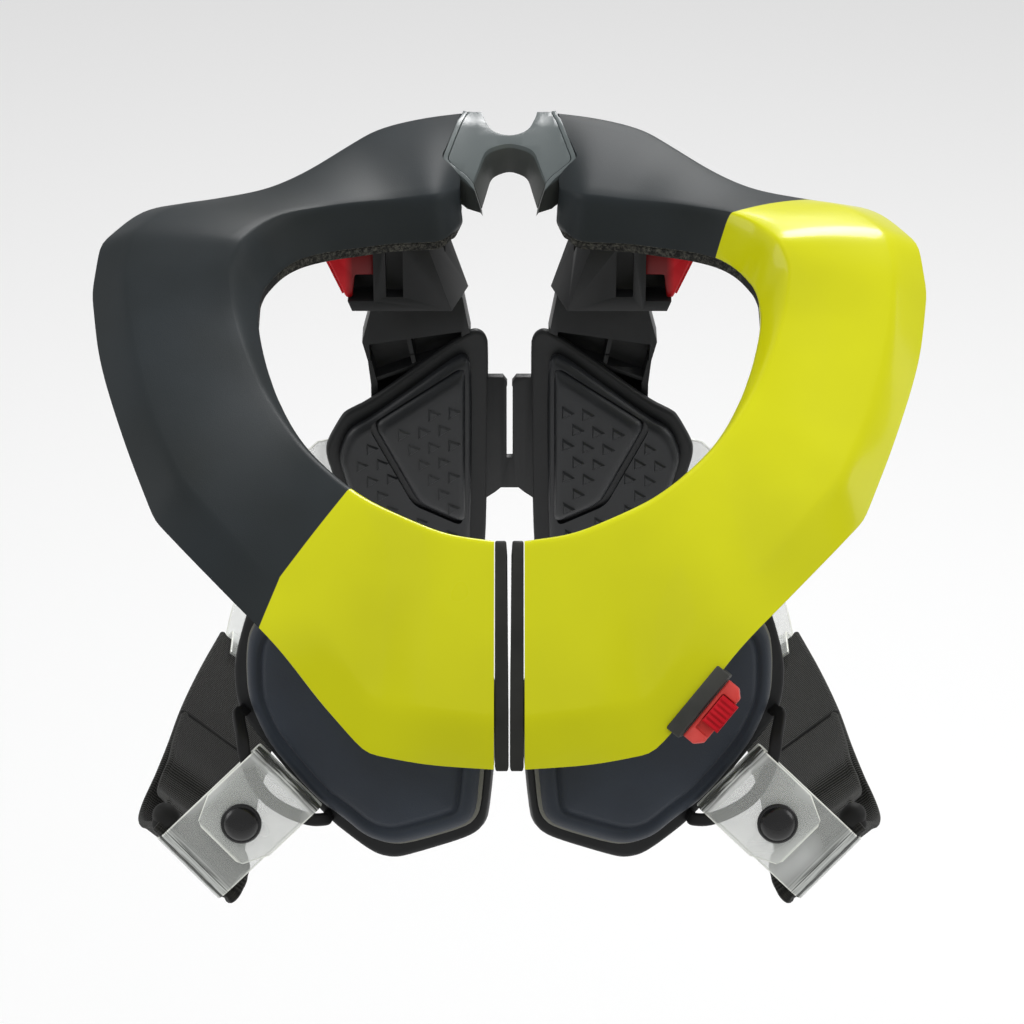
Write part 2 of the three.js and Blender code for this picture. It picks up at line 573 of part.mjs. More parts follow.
// Adjuster housing under the collar's rear: body, shelf under the clip and the wall behind the clip
function strutHousing() {
  const back0 = HOUSING_FRONT + HOUSING_DEPTH;
  const front = [[HOUSING_INNER, -HOUSING_FOOT], [HOUSING_SIDE, -HOUSING_FOOT], [HOUSING_SIDE, HOUSING_TOP],
    [HOUSING_INNER + HOUSING_LEAN, HOUSING_TOP]];
  const rear = front.map(([x, z]) => [x < HOUSING_SIDE ? x - 6 : x, z]);
  const body = loft([
    front.map(([x, z]) => v3(x, HOUSING_FRONT, z)),
    rear.map(([x, z]) => v3(x, back0, z)),
  ]);
  const shelf = slabY([[HOUSING_SIDE - 1, -HOUSING_FOOT], [HOUSING_SIDE + SHELF, -HOUSING_FOOT],
    [HOUSING_SIDE + 9.6, -CLIP_FOOT - GAP], [HOUSING_SIDE - 1, -CLIP_FOOT - GAP]], HOUSING_FRONT, back0);
  const wall = slabY([[HOUSING_SIDE - 1, -HOUSING_FOOT], [HOUSING_SIDE + SHELF, -HOUSING_FOOT],
    [HOUSING_SIDE + 19, HOUSING_TOP], [HOUSING_SIDE - 1, HOUSING_TOP]],
    HOUSING_FRONT + CLIP_WALL + 3, back0);
  const windowRight = HOUSING_SIDE - 4.6;
  const window = boxSolid([windowRight - WINDOW[0], windowRight],
    [HOUSING_FRONT - 1, HOUSING_FRONT + WINDOW[2]], [WINDOW_TOP - WINDOW[1], WINDOW_TOP]);
  const pocket = boxSolid([HOUSING_SIDE - CLIP_TRAVEL - 1, HOUSING_SIDE + 1],
    [HOUSING_FRONT + 1.5, HOUSING_FRONT + CLIP_WALL + 2.5], [-CLIP_ARM - GAP, HOUSING_TOP + 1]);
  const [wide, deep, tall] = TONGUE;
  const socket = boxSolid([STRUT_MIDDLE - wide / 2 - GAP, STRUT_MIDDLE + wide / 2 + GAP],
    [STRUT_FRONT + GAP, STRUT_FRONT + deep + 3 * GAP], [-HOUSING_FOOT - 1, tall - HOUSING_FOOT]);
  return cut(join(body, shelf, wall), window, pocket, socket, room);
}

function adjustClip() {
  const outline = [[HOUSING_SIDE - 0.6, 10.5], [HOUSING_SIDE + 19.5, 10.5], [HOUSING_SIDE + 10.2, -CLIP_FOOT],
    [HOUSING_SIDE + 7.8, -CLIP_FOOT], [HOUSING_SIDE + 6.8, -CLIP_ARM], [HOUSING_SIDE - 0.6, -CLIP_ARM]];
  return cut(slabY(outline, HOUSING_FRONT + 2, HOUSING_FRONT + 2 + CLIP_WALL), room);
}

// Strut: a tray open to the front, with a tongue that slides in the housing
const STRUT_TOP = HOUSING_FOOT + GAP;
const STRUT_OUTLINE = [
  [17.5, -STRUT_TOP], [50.5, -STRUT_TOP], [52, -24], [55, -36], [53, -44], [52, -54], [52, -72], [16, -72],
  [14.5, -34],
];
const STRUT_POCKET = [[17.5, -37], [52, -42.5], [49.5, -54], [49.5, -70], [18, -70]];

function strut() {
  const backY = STRUT_FRONT + STRUT_DEPTH;
  const [wide, deep, tall] = TONGUE;
  const tongue = boxSolid([STRUT_MIDDLE - wide / 2, STRUT_MIDDLE + wide / 2],
    [STRUT_FRONT + 2 * GAP, STRUT_FRONT + 2 * GAP + deep], [-STRUT_TOP - 4, tall - HOUSING_FOOT - 1]);
  const body = join(slabY(STRUT_OUTLINE, STRUT_FRONT, backY), tongue);
  const pocket = slabY(STRUT_POCKET, STRUT_FRONT - 1, backY - STRUT_FLOOR);
  const rib = (x0, z0, x1, z1) => {
    const side = new THREE.Vector2(z0 - z1, x1 - x0).normalize().multiplyScalar(RIB / 2);
    return slabY([[x0 + side.x, z0 + side.y], [x1 + side.x, z1 + side.y], [x1 - side.x, z1 - side.y],
      [x0 - side.x, z0 - side.y]], STRUT_FRONT + 1, backY - 1);
  };
  const ribs = [rib(37.5, -36, 31, -71), rib(54, -54, 15, -39)];
  const plateRoom = cushion(back, BACK_OUTLINE, [[-1, -BACK_PLATE - GAP], [-1, 4 * STRUT_DEPTH]]);
  return cut(join(cut(body, pocket), ...ribs), plateRoom);
}

// Latch on the left half's lower edge. Its frame runs along the lip, l along it, e over the edge, n out.
const LATCH = (() => {
  const corner = ROWS.findIndex((row) => row.lip.x > LATCH_PLACE);
  const [low, at, high] = [ROWS[corner - 1], ROWS[corner], ROWS[corner + 1]];
  const l = towards(low.lip, high.lip);
  const edge = towards(low.ridge, low.lip).add(towards(high.ridge, high.lip));
  const e = edge.addScaledVector(l, -edge.dot(l)).normalize();
  const n = e.clone().cross(l);
  return { at: (a, b, c) => along(along(along(at.lip, l, a), e, b), n, c), l };
})();
const latchBlock = ([l0, l1], [e0, e1], [n0, n1]) => loft([n0, n1].map((n) =>
  [[l0, e0], [l1, e0], [l1, e1], [l0, e1]].map(([l, e]) => LATCH.at(l, e, n))));

function latchBracket() {
  const half = LATCH_LENGTH / 2;
  const block = latchBlock([-half, half], [-3.5, 2], [-9, 1.8]);
  return cut(block, collarBody);
}

function latchFrame() {
  const [long, wide, thick] = LATCH_FRAME;
  const body = cushion((a, b, c) => LATCH.at(a, b, c), [
    [-long / 2, FRAME_EDGE], [long / 2, FRAME_EDGE], [long / 2, FRAME_EDGE + wide - 2.5],
    [long / 2 - 2.5, FRAME_EDGE + wide], [2.5 - long / 2, FRAME_EDGE + wide],
    [-long / 2, FRAME_EDGE + wide - 2.5],
  ], [[0, -thick], [0, -0.6], [0.6, 0]]);
  const half = (THUMB[0] + THUMB_TRAVEL) / 2 + GAP;
  return cut(body, latchBlock([-half, half], [FRAME_EDGE + FRAME_RAIL, FRAME_EDGE + wide + 1],
    [-thick / 2 - GAP, 1]));
}

function latchThumb() {
  const [long, wide, thick] = THUMB;
  const start = THUMB_TRAVEL / 2 - long / 2;
  const floor = -LATCH_FRAME[2] / 2;
  const e0 = FRAME_EDGE + FRAME_RAIL + GAP;
  const body = latchBlock([start, start + long], [e0, e0 + wide], [floor, floor + thick]);
  const ribs = Array.from({ length: THUMB_RIBS }, (_, i) => {
    const at = start + 0.9 + (i * (long - 1.8)) / (THUMB_RIBS - 1);
    return latchBlock([at - 0.5, at + 0.5], [e0 + 0.3, e0 + wide - 0.3],
      [floor + thick - 0.4, floor + thick + 0.8]);
  });
  return join(body, ...ribs);
}

const group = new THREE.Group();

function add(name, geometry, colour, roughness, metalness = 0) {
  const material = new THREE.MeshStandardMaterial({ color: colour, roughness, metalness });
  if (colour === COLOURS.clear) {
    material.transparent = true;
    material.opacity = 0.35;
  }
  const mesh = new THREE.Mesh(geometry, material);
  mesh.name = name;
  group.add(mesh);
}

const { dark, yellow, black, pad, grey, red, lightRed, clear, elastic } = COLOURS;
const PAIRS = [
  ['chassis', cut(loft(ROWS.map(chassisRing)), bridgeRoom()), black, 0.6],
  ['bezel', bezel(), grey, 0.35],
  ['end_plate', endPlate(), black, 0.5],
  ['chest_plate', chestPlate(), black, 0.55],
  ['chest_pad', chestPad(), pad, 0.7],
  ['pad_loop', padLoop(), black, 0.6],
  ['front_tab', frontTab(), clear, 0.05],
  ['snap_cap', snapCap(), black, 0.25],
  ['elastic_strap', elasticStrap(), elastic, 0.9],
  ['rear_tab', rearTab(), clear, 0.05],
  ['strut_housing', strutHousing(), black, 0.55],
  ['adjust_clip', adjustClip(), red, 0.35],
  ['strut', strut(), black, 0.5],
  ['back_plate', backPlate(), black, 0.55],
  ['back_pad', backPad(), black, 0.6],
];
const cover = cut(loft(ROWS.map(coverRing)), bridgeRoom());
add('cover_left', cover, yellow, 0.25);
add('cover_right', mirrored(cover), dark, 0.55);
for (const [name, geometry, colour, roughness] of PAIRS) {
  add(`${name}_left`, geometry, colour, roughness);
  add(`${name}_right`, mirrored(geometry), colour, roughness);
}
add('rear_bridge', bridge(), grey, 0.3);
add('back_web', backWeb(), black, 0.55);
add('latch_bracket', latchBracket(), grey, 0.5);
add('latch_frame', latchFrame(), lightRed, 0.4);
add('latch_thumb', latchThumb(), red, 0.4);

export default group;
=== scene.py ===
import math

import bmesh
import bpy
import numpy as np
from mathutils import Matrix, Vector


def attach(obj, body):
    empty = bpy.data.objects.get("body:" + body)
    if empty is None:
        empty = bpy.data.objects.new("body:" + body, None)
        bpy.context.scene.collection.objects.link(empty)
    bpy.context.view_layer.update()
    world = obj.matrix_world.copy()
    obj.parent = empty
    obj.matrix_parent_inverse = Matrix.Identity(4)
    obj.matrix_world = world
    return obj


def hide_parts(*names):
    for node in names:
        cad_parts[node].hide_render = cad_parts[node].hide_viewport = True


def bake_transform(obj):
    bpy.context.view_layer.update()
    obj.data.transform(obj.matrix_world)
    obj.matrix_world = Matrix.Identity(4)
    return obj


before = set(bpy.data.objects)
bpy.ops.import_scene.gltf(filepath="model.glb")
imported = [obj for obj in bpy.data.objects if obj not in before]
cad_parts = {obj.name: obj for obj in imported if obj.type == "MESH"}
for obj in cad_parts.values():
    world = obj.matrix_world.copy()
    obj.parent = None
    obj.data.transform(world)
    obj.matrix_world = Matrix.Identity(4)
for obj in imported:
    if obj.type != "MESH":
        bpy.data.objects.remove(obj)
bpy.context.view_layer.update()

# A pale studio floor well under the hanging brace, with one large soft light above, one at each side and
# a small one behind. The camera stands where the photograph was taken, 32 degrees above level and far away.
VIEW_RISE = math.radians(32)
VIEW_AT = Vector((0.0009, -0.020, -0.0375))
VIEW_FAR = 1.5
VIEW_LENS = 150.7
FLOOR_DROP = -0.62
FLOOR_REACH = 9


def new_object(name, data):
    """A new object in the scene"""
    made = bpy.data.objects.new(name, data)
    bpy.context.scene.collection.objects.link(made)
    return made


camera = new_object("camera", bpy.data.cameras.new("camera"))
bpy.context.scene.camera = camera
camera.data.lens = VIEW_LENS
camera.location = VIEW_AT + VIEW_FAR * Vector((0, -math.cos(VIEW_RISE), math.sin(VIEW_RISE)))
camera.rotation_euler = (math.pi / 2 - VIEW_RISE, 0, 0)
bpy.context.scene.view_settings.view_transform = "Standard"

for name, place, size, watts in (
    ("light_top", (0.0, -0.45, 1.55), 2.0, 17), ("light_left", (-1.7, 0.1, 0.75), 1.1, 7),
    ("light_right", (1.7, 0.1, 0.75), 1.1, 7), ("light_rear", (0.25, 1.0, 0.8), 0.5, 11),
):
    lamp = bpy.data.lights.new(name, "AREA")
    lamp.size, lamp.energy = size, watts
    light = new_object(name, lamp)
    light.location = place
    light.rotation_euler = (VIEW_AT - Vector(place)).to_track_quat("-Z", "Y").to_euler()
    light.visible_glossy = name != "light_top"

world = bpy.data.worlds.new("studio")
bpy.context.scene.world = world
world.use_nodes = True
sky = world.node_tree.nodes["Background"]
sky.inputs["Color"].default_value = (0.9, 0.9, 0.9, 1)
sky.inputs["Strength"].default_value = 0.42

floor_mesh = bpy.data.meshes.new("floor")
floor_mesh.from_pydata([(x * FLOOR_REACH, y * FLOOR_REACH, FLOOR_DROP)
                        for x, y in ((-1, -1), (1, -1), (1, 1), (-1, 1))], [], [(0, 1, 2, 3)])
floor = new_object("floor", floor_mesh)
floor_paint = bpy.data.materials.new("floor_paint")
floor_paint.use_nodes = True
for key, value in (("Base Color", (0.6, 0.6, 0.6, 1)), ("Roughness", 0.9),
                   ("Emission Color", (1, 1, 1, 1)), ("Emission Strength", 0.33)):
    floor_paint.node_tree.nodes["Principled BSDF"].inputs[key].default_value = value
floor_mesh.materials.append(floor_paint)


# The collar's cover: moulded foam with a smooth skin, in two halves, dark grey with gloss yellow zones.
# Each half is one skin over sections taken from the front seam round a side to the rear. Millimetres,
# with each place a share in thousandths of the collar's half width, half depth and rise.
COLLAR = np.array([147.5, 134.0, 112.0])
COVER_START = 5.1
COVER_DEPTH = 14.0
CROWN = 1.2
LIP_TURN = 6.0
CHASSIS_INSET = 8.0
CHASSIS_WALL = 3.5
GAP = 0.3
ROW_STEP = 2.2
EDGE_SOFTNESS = (1.6, 1.6, 1.4, 1.0)
SIDES = ((1, "left"), (-1, "right"))
SECTIONS = [  # neck edge, neck crease, outer crease, lip, and 1 where the form has a corner
    ((36, -582, -113), (36, -597, -103), (36, -948, -465), (36, -993, -612), 0),
    ((145, -560, -102), (149, -575, -91), (181, -933, -446), (186, -978, -606), 0),
    ((258, -500, -79), (266, -515, -62), (313, -881, -460), (326, -940, -598), 1),
    ((318, -455, -67), (329, -470, -49), (376, -821, -351), (430, -881, -456), 1),
    ((374, -403, -49), (387, -418, -23), (435, -754, -262), (519, -821, -322), 0),
    ((453, -306, -12), (468, -321, 16), (555, -657, -184), (635, -716, -220), 0),
    ((504, -209, 17), (526, -224, 60), (658, -567, -71), (732, -627, -137), 0),
    ((545, -104, 58), (576, -127, 109), (755, -463, 6), (814, -522, -91), 1),
    ((574, 0, 103), (617, -15, 174), (835, -239, 92), (898, -284, 24), 0),
    ((595, 119, 154), (647, 104, 236), (892, 0, 199), (967, -30, 123), 0),
    ((596, 209, 184), (660, 209, 312), (921, 194, 294), (1000, 194, 212), 1),
    ((586, 261, 199), (634, 284, 354), (906, 328, 349), (988, 343, 296), 1),
    ((552, 358, 196), (597, 373, 342), (824, 478, 344), (897, 522, 297), 0),
    ((506, 433, 192), (540, 448, 337), (710, 582, 310), (787, 627, 263), 0),
    ((441, 500, 173), (456, 507, 321), (595, 642, 309), (643, 687, 252), 0),
    ((369, 537, 163), (376, 545, 312), (500, 731, 319), (543, 776, 236), 0),
    ((284, 575, 154), (289, 582, 296), (395, 866, 335), (422, 903, 256), 0),
    ((222, 590, 148), (226, 597, 297), (326, 925, 357), (340, 963, 287), 0),
    ((163, 597, 151), (173, 604, 300), (214, 955, 379), (220, 993, 305), 0),
    ((115, 672, 165), (125, 687, 266), (106, 963, 394), (107, 1000, 320), 0),
]
MM = 0.001


def unit(vectors):
    return vectors / np.linalg.norm(vectors, axis=-1, keepdims=True)


def soften(rows, width):
    """Runs a soft average along the rows, with both ends kept in place"""
    reach = int(4 * width) + 1
    weight = np.exp(-0.5 * (np.arange(-reach, reach + 1) / width) ** 2)
    weight /= weight.sum()
    before = 2 * rows[0] - rows[reach:0:-1]
    after = 2 * rows[-1] - rows[-2:-reach - 2:-1]
    padded = np.concatenate([before, rows, after])
    return sum(w * padded[i:i + len(rows)] for i, w in enumerate(weight))


def collar_rows():
    """The four edges at even steps round the collar, the foot, turn and under edge, and the up direction"""
    table = np.array([row[:4] for row in SECTIONS]) * COLLAR / 1000
    table[0, :, 0] = COVER_START
    corner = [row[4] for row in SECTIONS]
    middle = table[:, 1:3].mean(axis=1)
    stand = np.concatenate([[0], np.cumsum(np.linalg.norm(np.diff(middle, axis=0), axis=1))])
    fine = np.linspace(0, stand[-1], int(stand[-1] / ROW_STEP))
    chord = np.diff(table, axis=0) / np.diff(stand)[:, None, None]
    slope = np.concatenate([chord[:1], (table[2:] - table[:-2]) / (stand[2:] - stand[:-2])[:, None, None],
                            chord[-1:]])
    rows = []
    for s in fine:
        i = min(int(np.searchsorted(stand, s, side="right")) - 1, len(chord) - 1)
        h = stand[i + 1] - stand[i]
        t = (s - stand[i]) / h
        m0 = chord[i] if corner[i] else slope[i]
        m1 = chord[i] if corner[i + 1] else slope[i + 1]
        rows.append((2 * t**3 - 3 * t**2 + 1) * table[i] + (t**3 - 2 * t**2 + t) * h * m0
                    + (3 * t**2 - 2 * t**3) * table[i + 1] + (t**3 - t**2) * h * m1)
    rows = np.array(rows)
    for key, width in enumerate(EDGE_SOFTNESS):
        rows[:, key] = soften(rows[:, key], width)
    neck, crease, ridge, lip = rows.transpose(1, 0, 2)
    path = unit(soften(np.gradient((crease + ridge) / 2, axis=0), 4))
    across = unit(ridge - crease)
    up = unit(np.cross(across, path))
    rise = np.einsum("ij,ij->i", crease - neck, up)[:, None]
    foot = neck - up * np.maximum(1, COVER_DEPTH - rise)
    turn = lip - across * LIP_TURN - up
    under = unit(turn - foot)
    return dict(neck=neck, crease=crease, ridge=ridge, lip=lip, across=across, up=up, foot=foot, turn=turn,
                under=under, edge=turn - under * CHASSIS_INSET)


def rounded(before, corner, after, near, far, steps):
    """A corner drawn as a bend between two distances from it, each less than half of its side"""
    def reach(end, length):
        span = np.linalg.norm(end - corner, axis=-1, keepdims=True)
        return corner + (end - corner) * np.minimum(length / span, 0.46)
    a, c = reach(before, near), reach(after, far)
    return [(1 - t) ** 2 * a + 2 * t * (1 - t) * corner + t * t * c for t in np.linspace(0, 1, steps)]


def skin(rings):
    """A closed solid over rings with as many points each: its points and faces"""
    rings = np.asarray(rings, float)
    index = np.arange(rings.shape[0] * rings.shape[1]).reshape(rings.shape[:2])
    after = np.roll(index, -1, axis=1)
    sides = np.stack([index[:-1], after[:-1], after[1:], index[1:]], axis=-1).reshape(-1, 4).tolist()
    return rings.reshape(-1, 3), sides + [index[0][::-1].tolist(), index[-1].tolist()]


def make(name, shape, finish, side=1, marks=None, smooth=35):
    """An object from points in millimetres, mirrored to its side, with its faces turned outwards"""
    points, faces = shape
    points = np.asarray(points, float) * MM * (side, 1, 1)
    fans = np.array([(f[0], f[i], f[i + 1]) for f in faces for i in range(1, len(f) - 1)])
    a, b, c = points[fans[:, 0]], points[fans[:, 1]], points[fans[:, 2]]
    if np.einsum("ij,ij->", a, np.cross(b, c)) < 0:
        faces = [f[::-1] for f in faces]
    mesh = bpy.data.meshes.new(name)
    mesh.from_pydata(points.tolist(), [], faces)
    for key, values in (marks or {}).items():
        layer = mesh.attributes.new(key, "FLOAT", "POINT")
        layer.data.foreach_set("value", np.asarray(values, np.float32).ravel())
    mesh.materials.append(finish)
    made = new_object(name, mesh)
    shade(made, smooth)
    return made


def shade(made, smooth):
    """Smooth faces that keep a hard edge where they meet at more than this angle"""
    made.data.shade_smooth()
    made.data.set_sharp_from_angle(angle=math.radians(smooth))


def settle(made, steps, smooth=35):
    """Gives a piece its modifiers, each a kind and its settings, and keeps the result as its plain mesh"""
    for kind, settings in steps:
        modifier = made.modifiers.new(kind.lower(), kind)
        for key, value in settings.items():
            setattr(modifier, key, value)
    bpy.context.view_layer.update()
    graph = bpy.context.evaluated_depsgraph_get()
    mesh = bpy.data.meshes.new_from_object(made.evaluated_get(graph), preserve_all_data_layers=True,
                                           depsgraph=graph)
    made.modifiers.clear()
    made.data = mesh
    shade(made, smooth)
    return made


def carve(piece, shape, side=1, smooth=35):
    """Cuts a solid shape out of a piece"""
    cutter = make("cutter", shape, piece.data.materials[0], side)
    settle(piece, [("BOOLEAN", {"object": cutter, "operation": "DIFFERENCE", "solver": "EXACT"})], smooth)
    bpy.data.objects.remove(cutter)


class Value:
    """A number, colour or vector in a material. Sums and products of these add the nodes they need."""

    def __init__(self, tree, socket):
        self.tree, self.socket = tree, socket

    def node(self, kind, settings=(), inputs=(), out=0):
        """A node's output, once its settings are made and its sockets have their links or numbers"""
        made = self.tree.nodes.new(kind)
        for key, value in dict(settings).items():
            setattr(made, key, value)
        for key, value in dict(inputs).items():
            if isinstance(value, Value):
                self.tree.links.new(value.socket, made.inputs[key])
            else:
                made.inputs[key].default_value = value
        return Value(self.tree, made.outputs[out])

    def math(self, operation, *others):
        return self.node("ShaderNodeMath", {"operation": operation}, dict(enumerate((self, *others))))

    def __add__(self, other):
        return self.math("ADD", other)

    def __sub__(self, other):
        return self.math("SUBTRACT", other)

    def __mul__(self, other):
        return self.math("MULTIPLY", other)

    def __rsub__(self, other):
        return self.node("ShaderNodeMath", {"operation": "SUBTRACT"}, {0: other, 1: self})

    __radd__ = __add__
    __rmul__ = __mul__

    def part(self, axis):
        return self.node("ShaderNodeSeparateXYZ", (), {0: self}, out=axis)

    def step(self, low, high):
        """0 below low, 1 above high"""
        return self.node("ShaderNodeMapRange", {"clamp": True}, {0: self, 1: low, 2: high, 3: 0.0, 4: 1.0})

    def blend(self, first, second):
        """The first colour where this is 0, the second where it is 1"""
        return self.node("ShaderNodeMix", {"data_type": "RGBA"}, {0: self, 6: first, 7: second}, out=2)

    def noise(self, scale, detail=3.0, rough=0.55):
        return self.node("ShaderNodeTexNoise", (), {"Vector": self, "Scale": scale, "Detail": detail,
                                                    "Roughness": rough})

    def mark(self, name):
        return self.node("ShaderNodeAttribute", {"attribute_name": name}, out=2)

    def bump(self, distance, strength=1.0):
        return self.node("ShaderNodeBump", (), {"Height": self, "Distance": distance, "Strength": strength})


def look(name, paint, **fixed):
    """A material: fixed numbers on its sockets, and what varies from the paint of a place on the piece"""
    made = bpy.data.materials.new(name)
    made.use_nodes = True
    tree = made.node_tree
    surface = tree.nodes["Principled BSDF"]
    place = Value(tree, tree.nodes.new("ShaderNodeTexCoord").outputs["Object"])
    for key, value in fixed.items():
        surface.inputs[key.replace("_", " ")].default_value = value
    for key, value in paint(place).items():
        tree.links.new(value.socket, surface.inputs[key])
    return made


def colour(red, green, blue):
    """A colour as read from a photograph, 0 to 255, in the renderer's own scale"""
    parts = (c / 255 for c in (red, green, blue))
    return (*(p / 12.92 if p <= 0.04045 else ((p + 0.055) / 1.055) ** 2.4 for p in parts), 1)


YELLOW = colour(208, 209, 0)
YELLOW_SHADE = colour(201, 201, 0)
SLATE = colour(35, 39, 40)
SLATE_PALE = colour(41, 46, 49)
RAW_FOAM = colour(92, 92, 86)
# The yellow's edge on each half, as pairs of places in metres that a straight edge runs through
YELLOW_EDGES = {
    "left": [((0.0760, 0.0598), (0.1037, 0.0735))],
    "right": [((-0.0549, -0.0598), (-0.0767, -0.0878)), ((-0.0767, -0.0878), (-0.0823, -0.1015))],
}


def front_of(place, edges):
    """How far a place lies in front of the yellow's edge, in metres"""
    x, y = place.part(0), place.part(1)
    found = None
    for (x0, y0), (x1, y1) in edges:
        nx, ny = y1 - y0, x0 - x1
        size = math.hypot(nx, ny) * (1 if ny < 0 else -1)
        distance = (x * (nx / size) + y * (ny / size)) - (x0 * nx + y0 * ny) / size
        found = distance if found is None else found.math("MINIMUM", distance)
    return found


def cover_paint(edges):
    def paint(place):
        yellow = front_of(place, edges).step(-0.00012, 0.00012)
        cloud = place.noise(22.0, 2.0)
        grain = place.noise(2600.0, 2.0)
        raw = (place.mark("raw") + place.noise(420.0, 4.0) * 0.5).step(0.98, 1.14)
        slate = cloud.step(0.3, 0.7).blend(SLATE, SLATE_PALE)
        lemon = cloud.step(0.35, 0.75).blend(YELLOW, YELLOW_SHADE)
        foam = place.noise(900.0, 5.0, 0.7).step(0.42, 0.66).blend(colour(38, 38, 36), RAW_FOAM)
        height = grain * (1 - yellow) * 0.5 + place.noise(700.0, 4.0) * raw * 6.0
        return {
            "Base Color": raw.blend(yellow.blend(slate, lemon), foam),
            "Roughness": (0.46 - yellow * 0.2 + cloud * 0.05) + raw * 0.4,
            "Coat Weight": yellow * 0.3 * (1 - raw),
            "Normal": height.bump(0.00012, 0.6),
        }
    return paint


cover_look = {hand: look(f"cover_skin_{hand}", cover_paint(edges), Coat_Roughness=0.1, Specular_IOR_Level=0.2)
              for hand, edges in YELLOW_EDGES.items()}
rows = collar_rows()


def cover_rings():
    neck, crease, ridge, lip = (rows[k] for k in ("neck", "crease", "ridge", "lip"))
    across, up, foot, turn, edge = (rows[k] for k in ("across", "up", "foot", "turn", "edge"))
    span = np.linalg.norm(ridge - crease, axis=1, keepdims=True)

    def top(share):
        return crease + across * span * share + up * CROWN * 4 * share * (1 - share)
    columns = [foot, foot + (neck - foot) * 0.35]
    columns += rounded(foot, neck, crease, 1.6, 1.4, 4)
    columns += rounded(neck, crease, top(0.1), 6.0, 4.5, 7)
    columns += [top(share) for share in np.linspace(0.14, 0.86, 9)]
    columns += rounded(top(0.9), ridge, lip, 4.0, 4.0, 7)
    columns += rounded(ridge, lip, turn, 1.6, 1.6, 4)
    columns += rounded(lip, turn, edge, 1.2, 1.2, 3)
    columns += [edge, (edge + foot) / 2]
    return np.stack(columns, axis=1)


def plan_block(outline, top, floor):
    """A block over a plan outline between two heights"""
    return skin([[(x, y, level) for x, y in outline] for level in (floor, top)])


def inset(outline, distance):
    """An outline with its sides moved inwards, or outwards when the distance is negative"""
    points = np.asarray(outline, float)
    after = np.roll(points, -1, axis=0)
    area = np.sum(points[:, 0] * after[:, 1] - after[:, 0] * points[:, 1])
    sides = unit(after - points)
    inward = np.stack([-sides[:, 1], sides[:, 0]], axis=1) * np.sign(area)
    middle = inward + np.roll(inward, 1, axis=0)
    size = np.maximum(0.5, (middle**2).sum(axis=1) / 2)[:, None]
    return points + middle * distance / size


# The covers and trays are cut back at the rear to make room for the bezels and the bridge. The bridge's
# plan is in shares of its half width and of the way from the collar's neck crease to its lip.
BRIDGE_DEPTH = 10.5
BRIDGE_HALF = 22.6
BEZEL_WIDTH = 1.5
WING_FROM, WING_REACH, WING_LIFT = 12, 12, 1.8
HORN_FROM, HORN_TO = 123.5, 130.5
HORN_RISE, HORN_FALL = 0.13, 1.1
ROOM_REACH, ROOM_PAST, ROOM_TOP, ROOM_FLOOR = 20, 3, 90, -20
CREASE_Y, CREASE_Z = rows["crease"][-1][1:]
RIDGE_Y, RIDGE_Z = rows["ridge"][-1][1:]
LIP_Y = rows["lip"][-1][1]
REAR_SLOPE = (RIDGE_Z - CREASE_Z) / (RIDGE_Y - CREASE_Y)
BRIDGE_OUTLINE = [(x * BRIDGE_HALF, CREASE_Y + y * (LIP_Y - CREASE_Y)) for x, y in (
    (0, 0.57), (0.31, 0.635), (0.42, 0.79), (0.465, 0.975), (0.64, 1.01), (0.705, 0.84),
    (1, 0.28), (0.67, 0.15), (0.59, 0.09), (0.41, 0.39), (0.31, 0.445), (0, 0.5))]
BRIDGE_BENDS = (99, 99, 99, 1.2, 0.7, 1.5, 1.8, 1.5, 0.5, 1.5, 99, 99)


def clamped(share):
    return min(1, max(0, share))


def bridge_top(x, y):
    """Height of the bridge: the collar's slope with its crown, flatter on the horns, and down behind them"""
    line = CREASE_Z + (min(y, HORN_FROM) - CREASE_Y) * REAR_SLOPE
    share = clamped((y - CREASE_Y) / (RIDGE_Y - CREASE_Y))
    wing = WING_LIFT * clamped((abs(x) - WING_FROM) / WING_REACH) ** 2
    height = line + wing + CROWN * 4 * share * (1 - share)
    height += HORN_RISE * min(max(0, y - HORN_FROM), HORN_TO - HORN_FROM)
    return height - HORN_FALL * max(0, y - HORN_TO)


def filleted(outline, bends, steps=5):
    """An outline whose corners are drawn as bends of the given reach, 0 for a sharp one"""
    points = [np.array(p, float) for p in outline]
    line = []
    for i, (point, reach) in enumerate(zip(points, bends)):
        after = points[(i + 1) % len(points)]
        line += rounded(points[i - 1], point, after, reach, reach, steps) if reach else [point]
    return np.array(line)


def bridge_side(distance):
    """A line at a distance from the bridge's outer side, from its horn's tip to its toe"""
    return inset(BRIDGE_OUTLINE, -distance)[4:9]


side_line = bridge_side(2 * GAP + BEZEL_WIDTH)
room_rear, room_front = side_line[0] + (0, ROOM_REACH), side_line[-1] - (0, ROOM_REACH)
rear_room = plan_block(filleted(
    [(-ROOM_PAST, room_rear[1]), room_rear, *side_line, room_front, (-ROOM_PAST, room_front[1])],
    (0, 0, 0, 1.7, 2.4, 1.2, 0, 0, 0)), ROOM_TOP, ROOM_FLOOR)
rings = cover_rings()
raw = np.zeros(rings.shape[:2])
raw[:, [0, -1, -2]] = 1
raw[:, 1] = 0.8
for side, hand in SIDES:
    cover = make(f"cover_shell_{hand}", skin(rings), cover_look[hand], side, {"raw": raw})
    carve(cover, rear_room, side)
    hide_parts(f"cover_{hand}")
    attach(cover, f"{hand}_half")


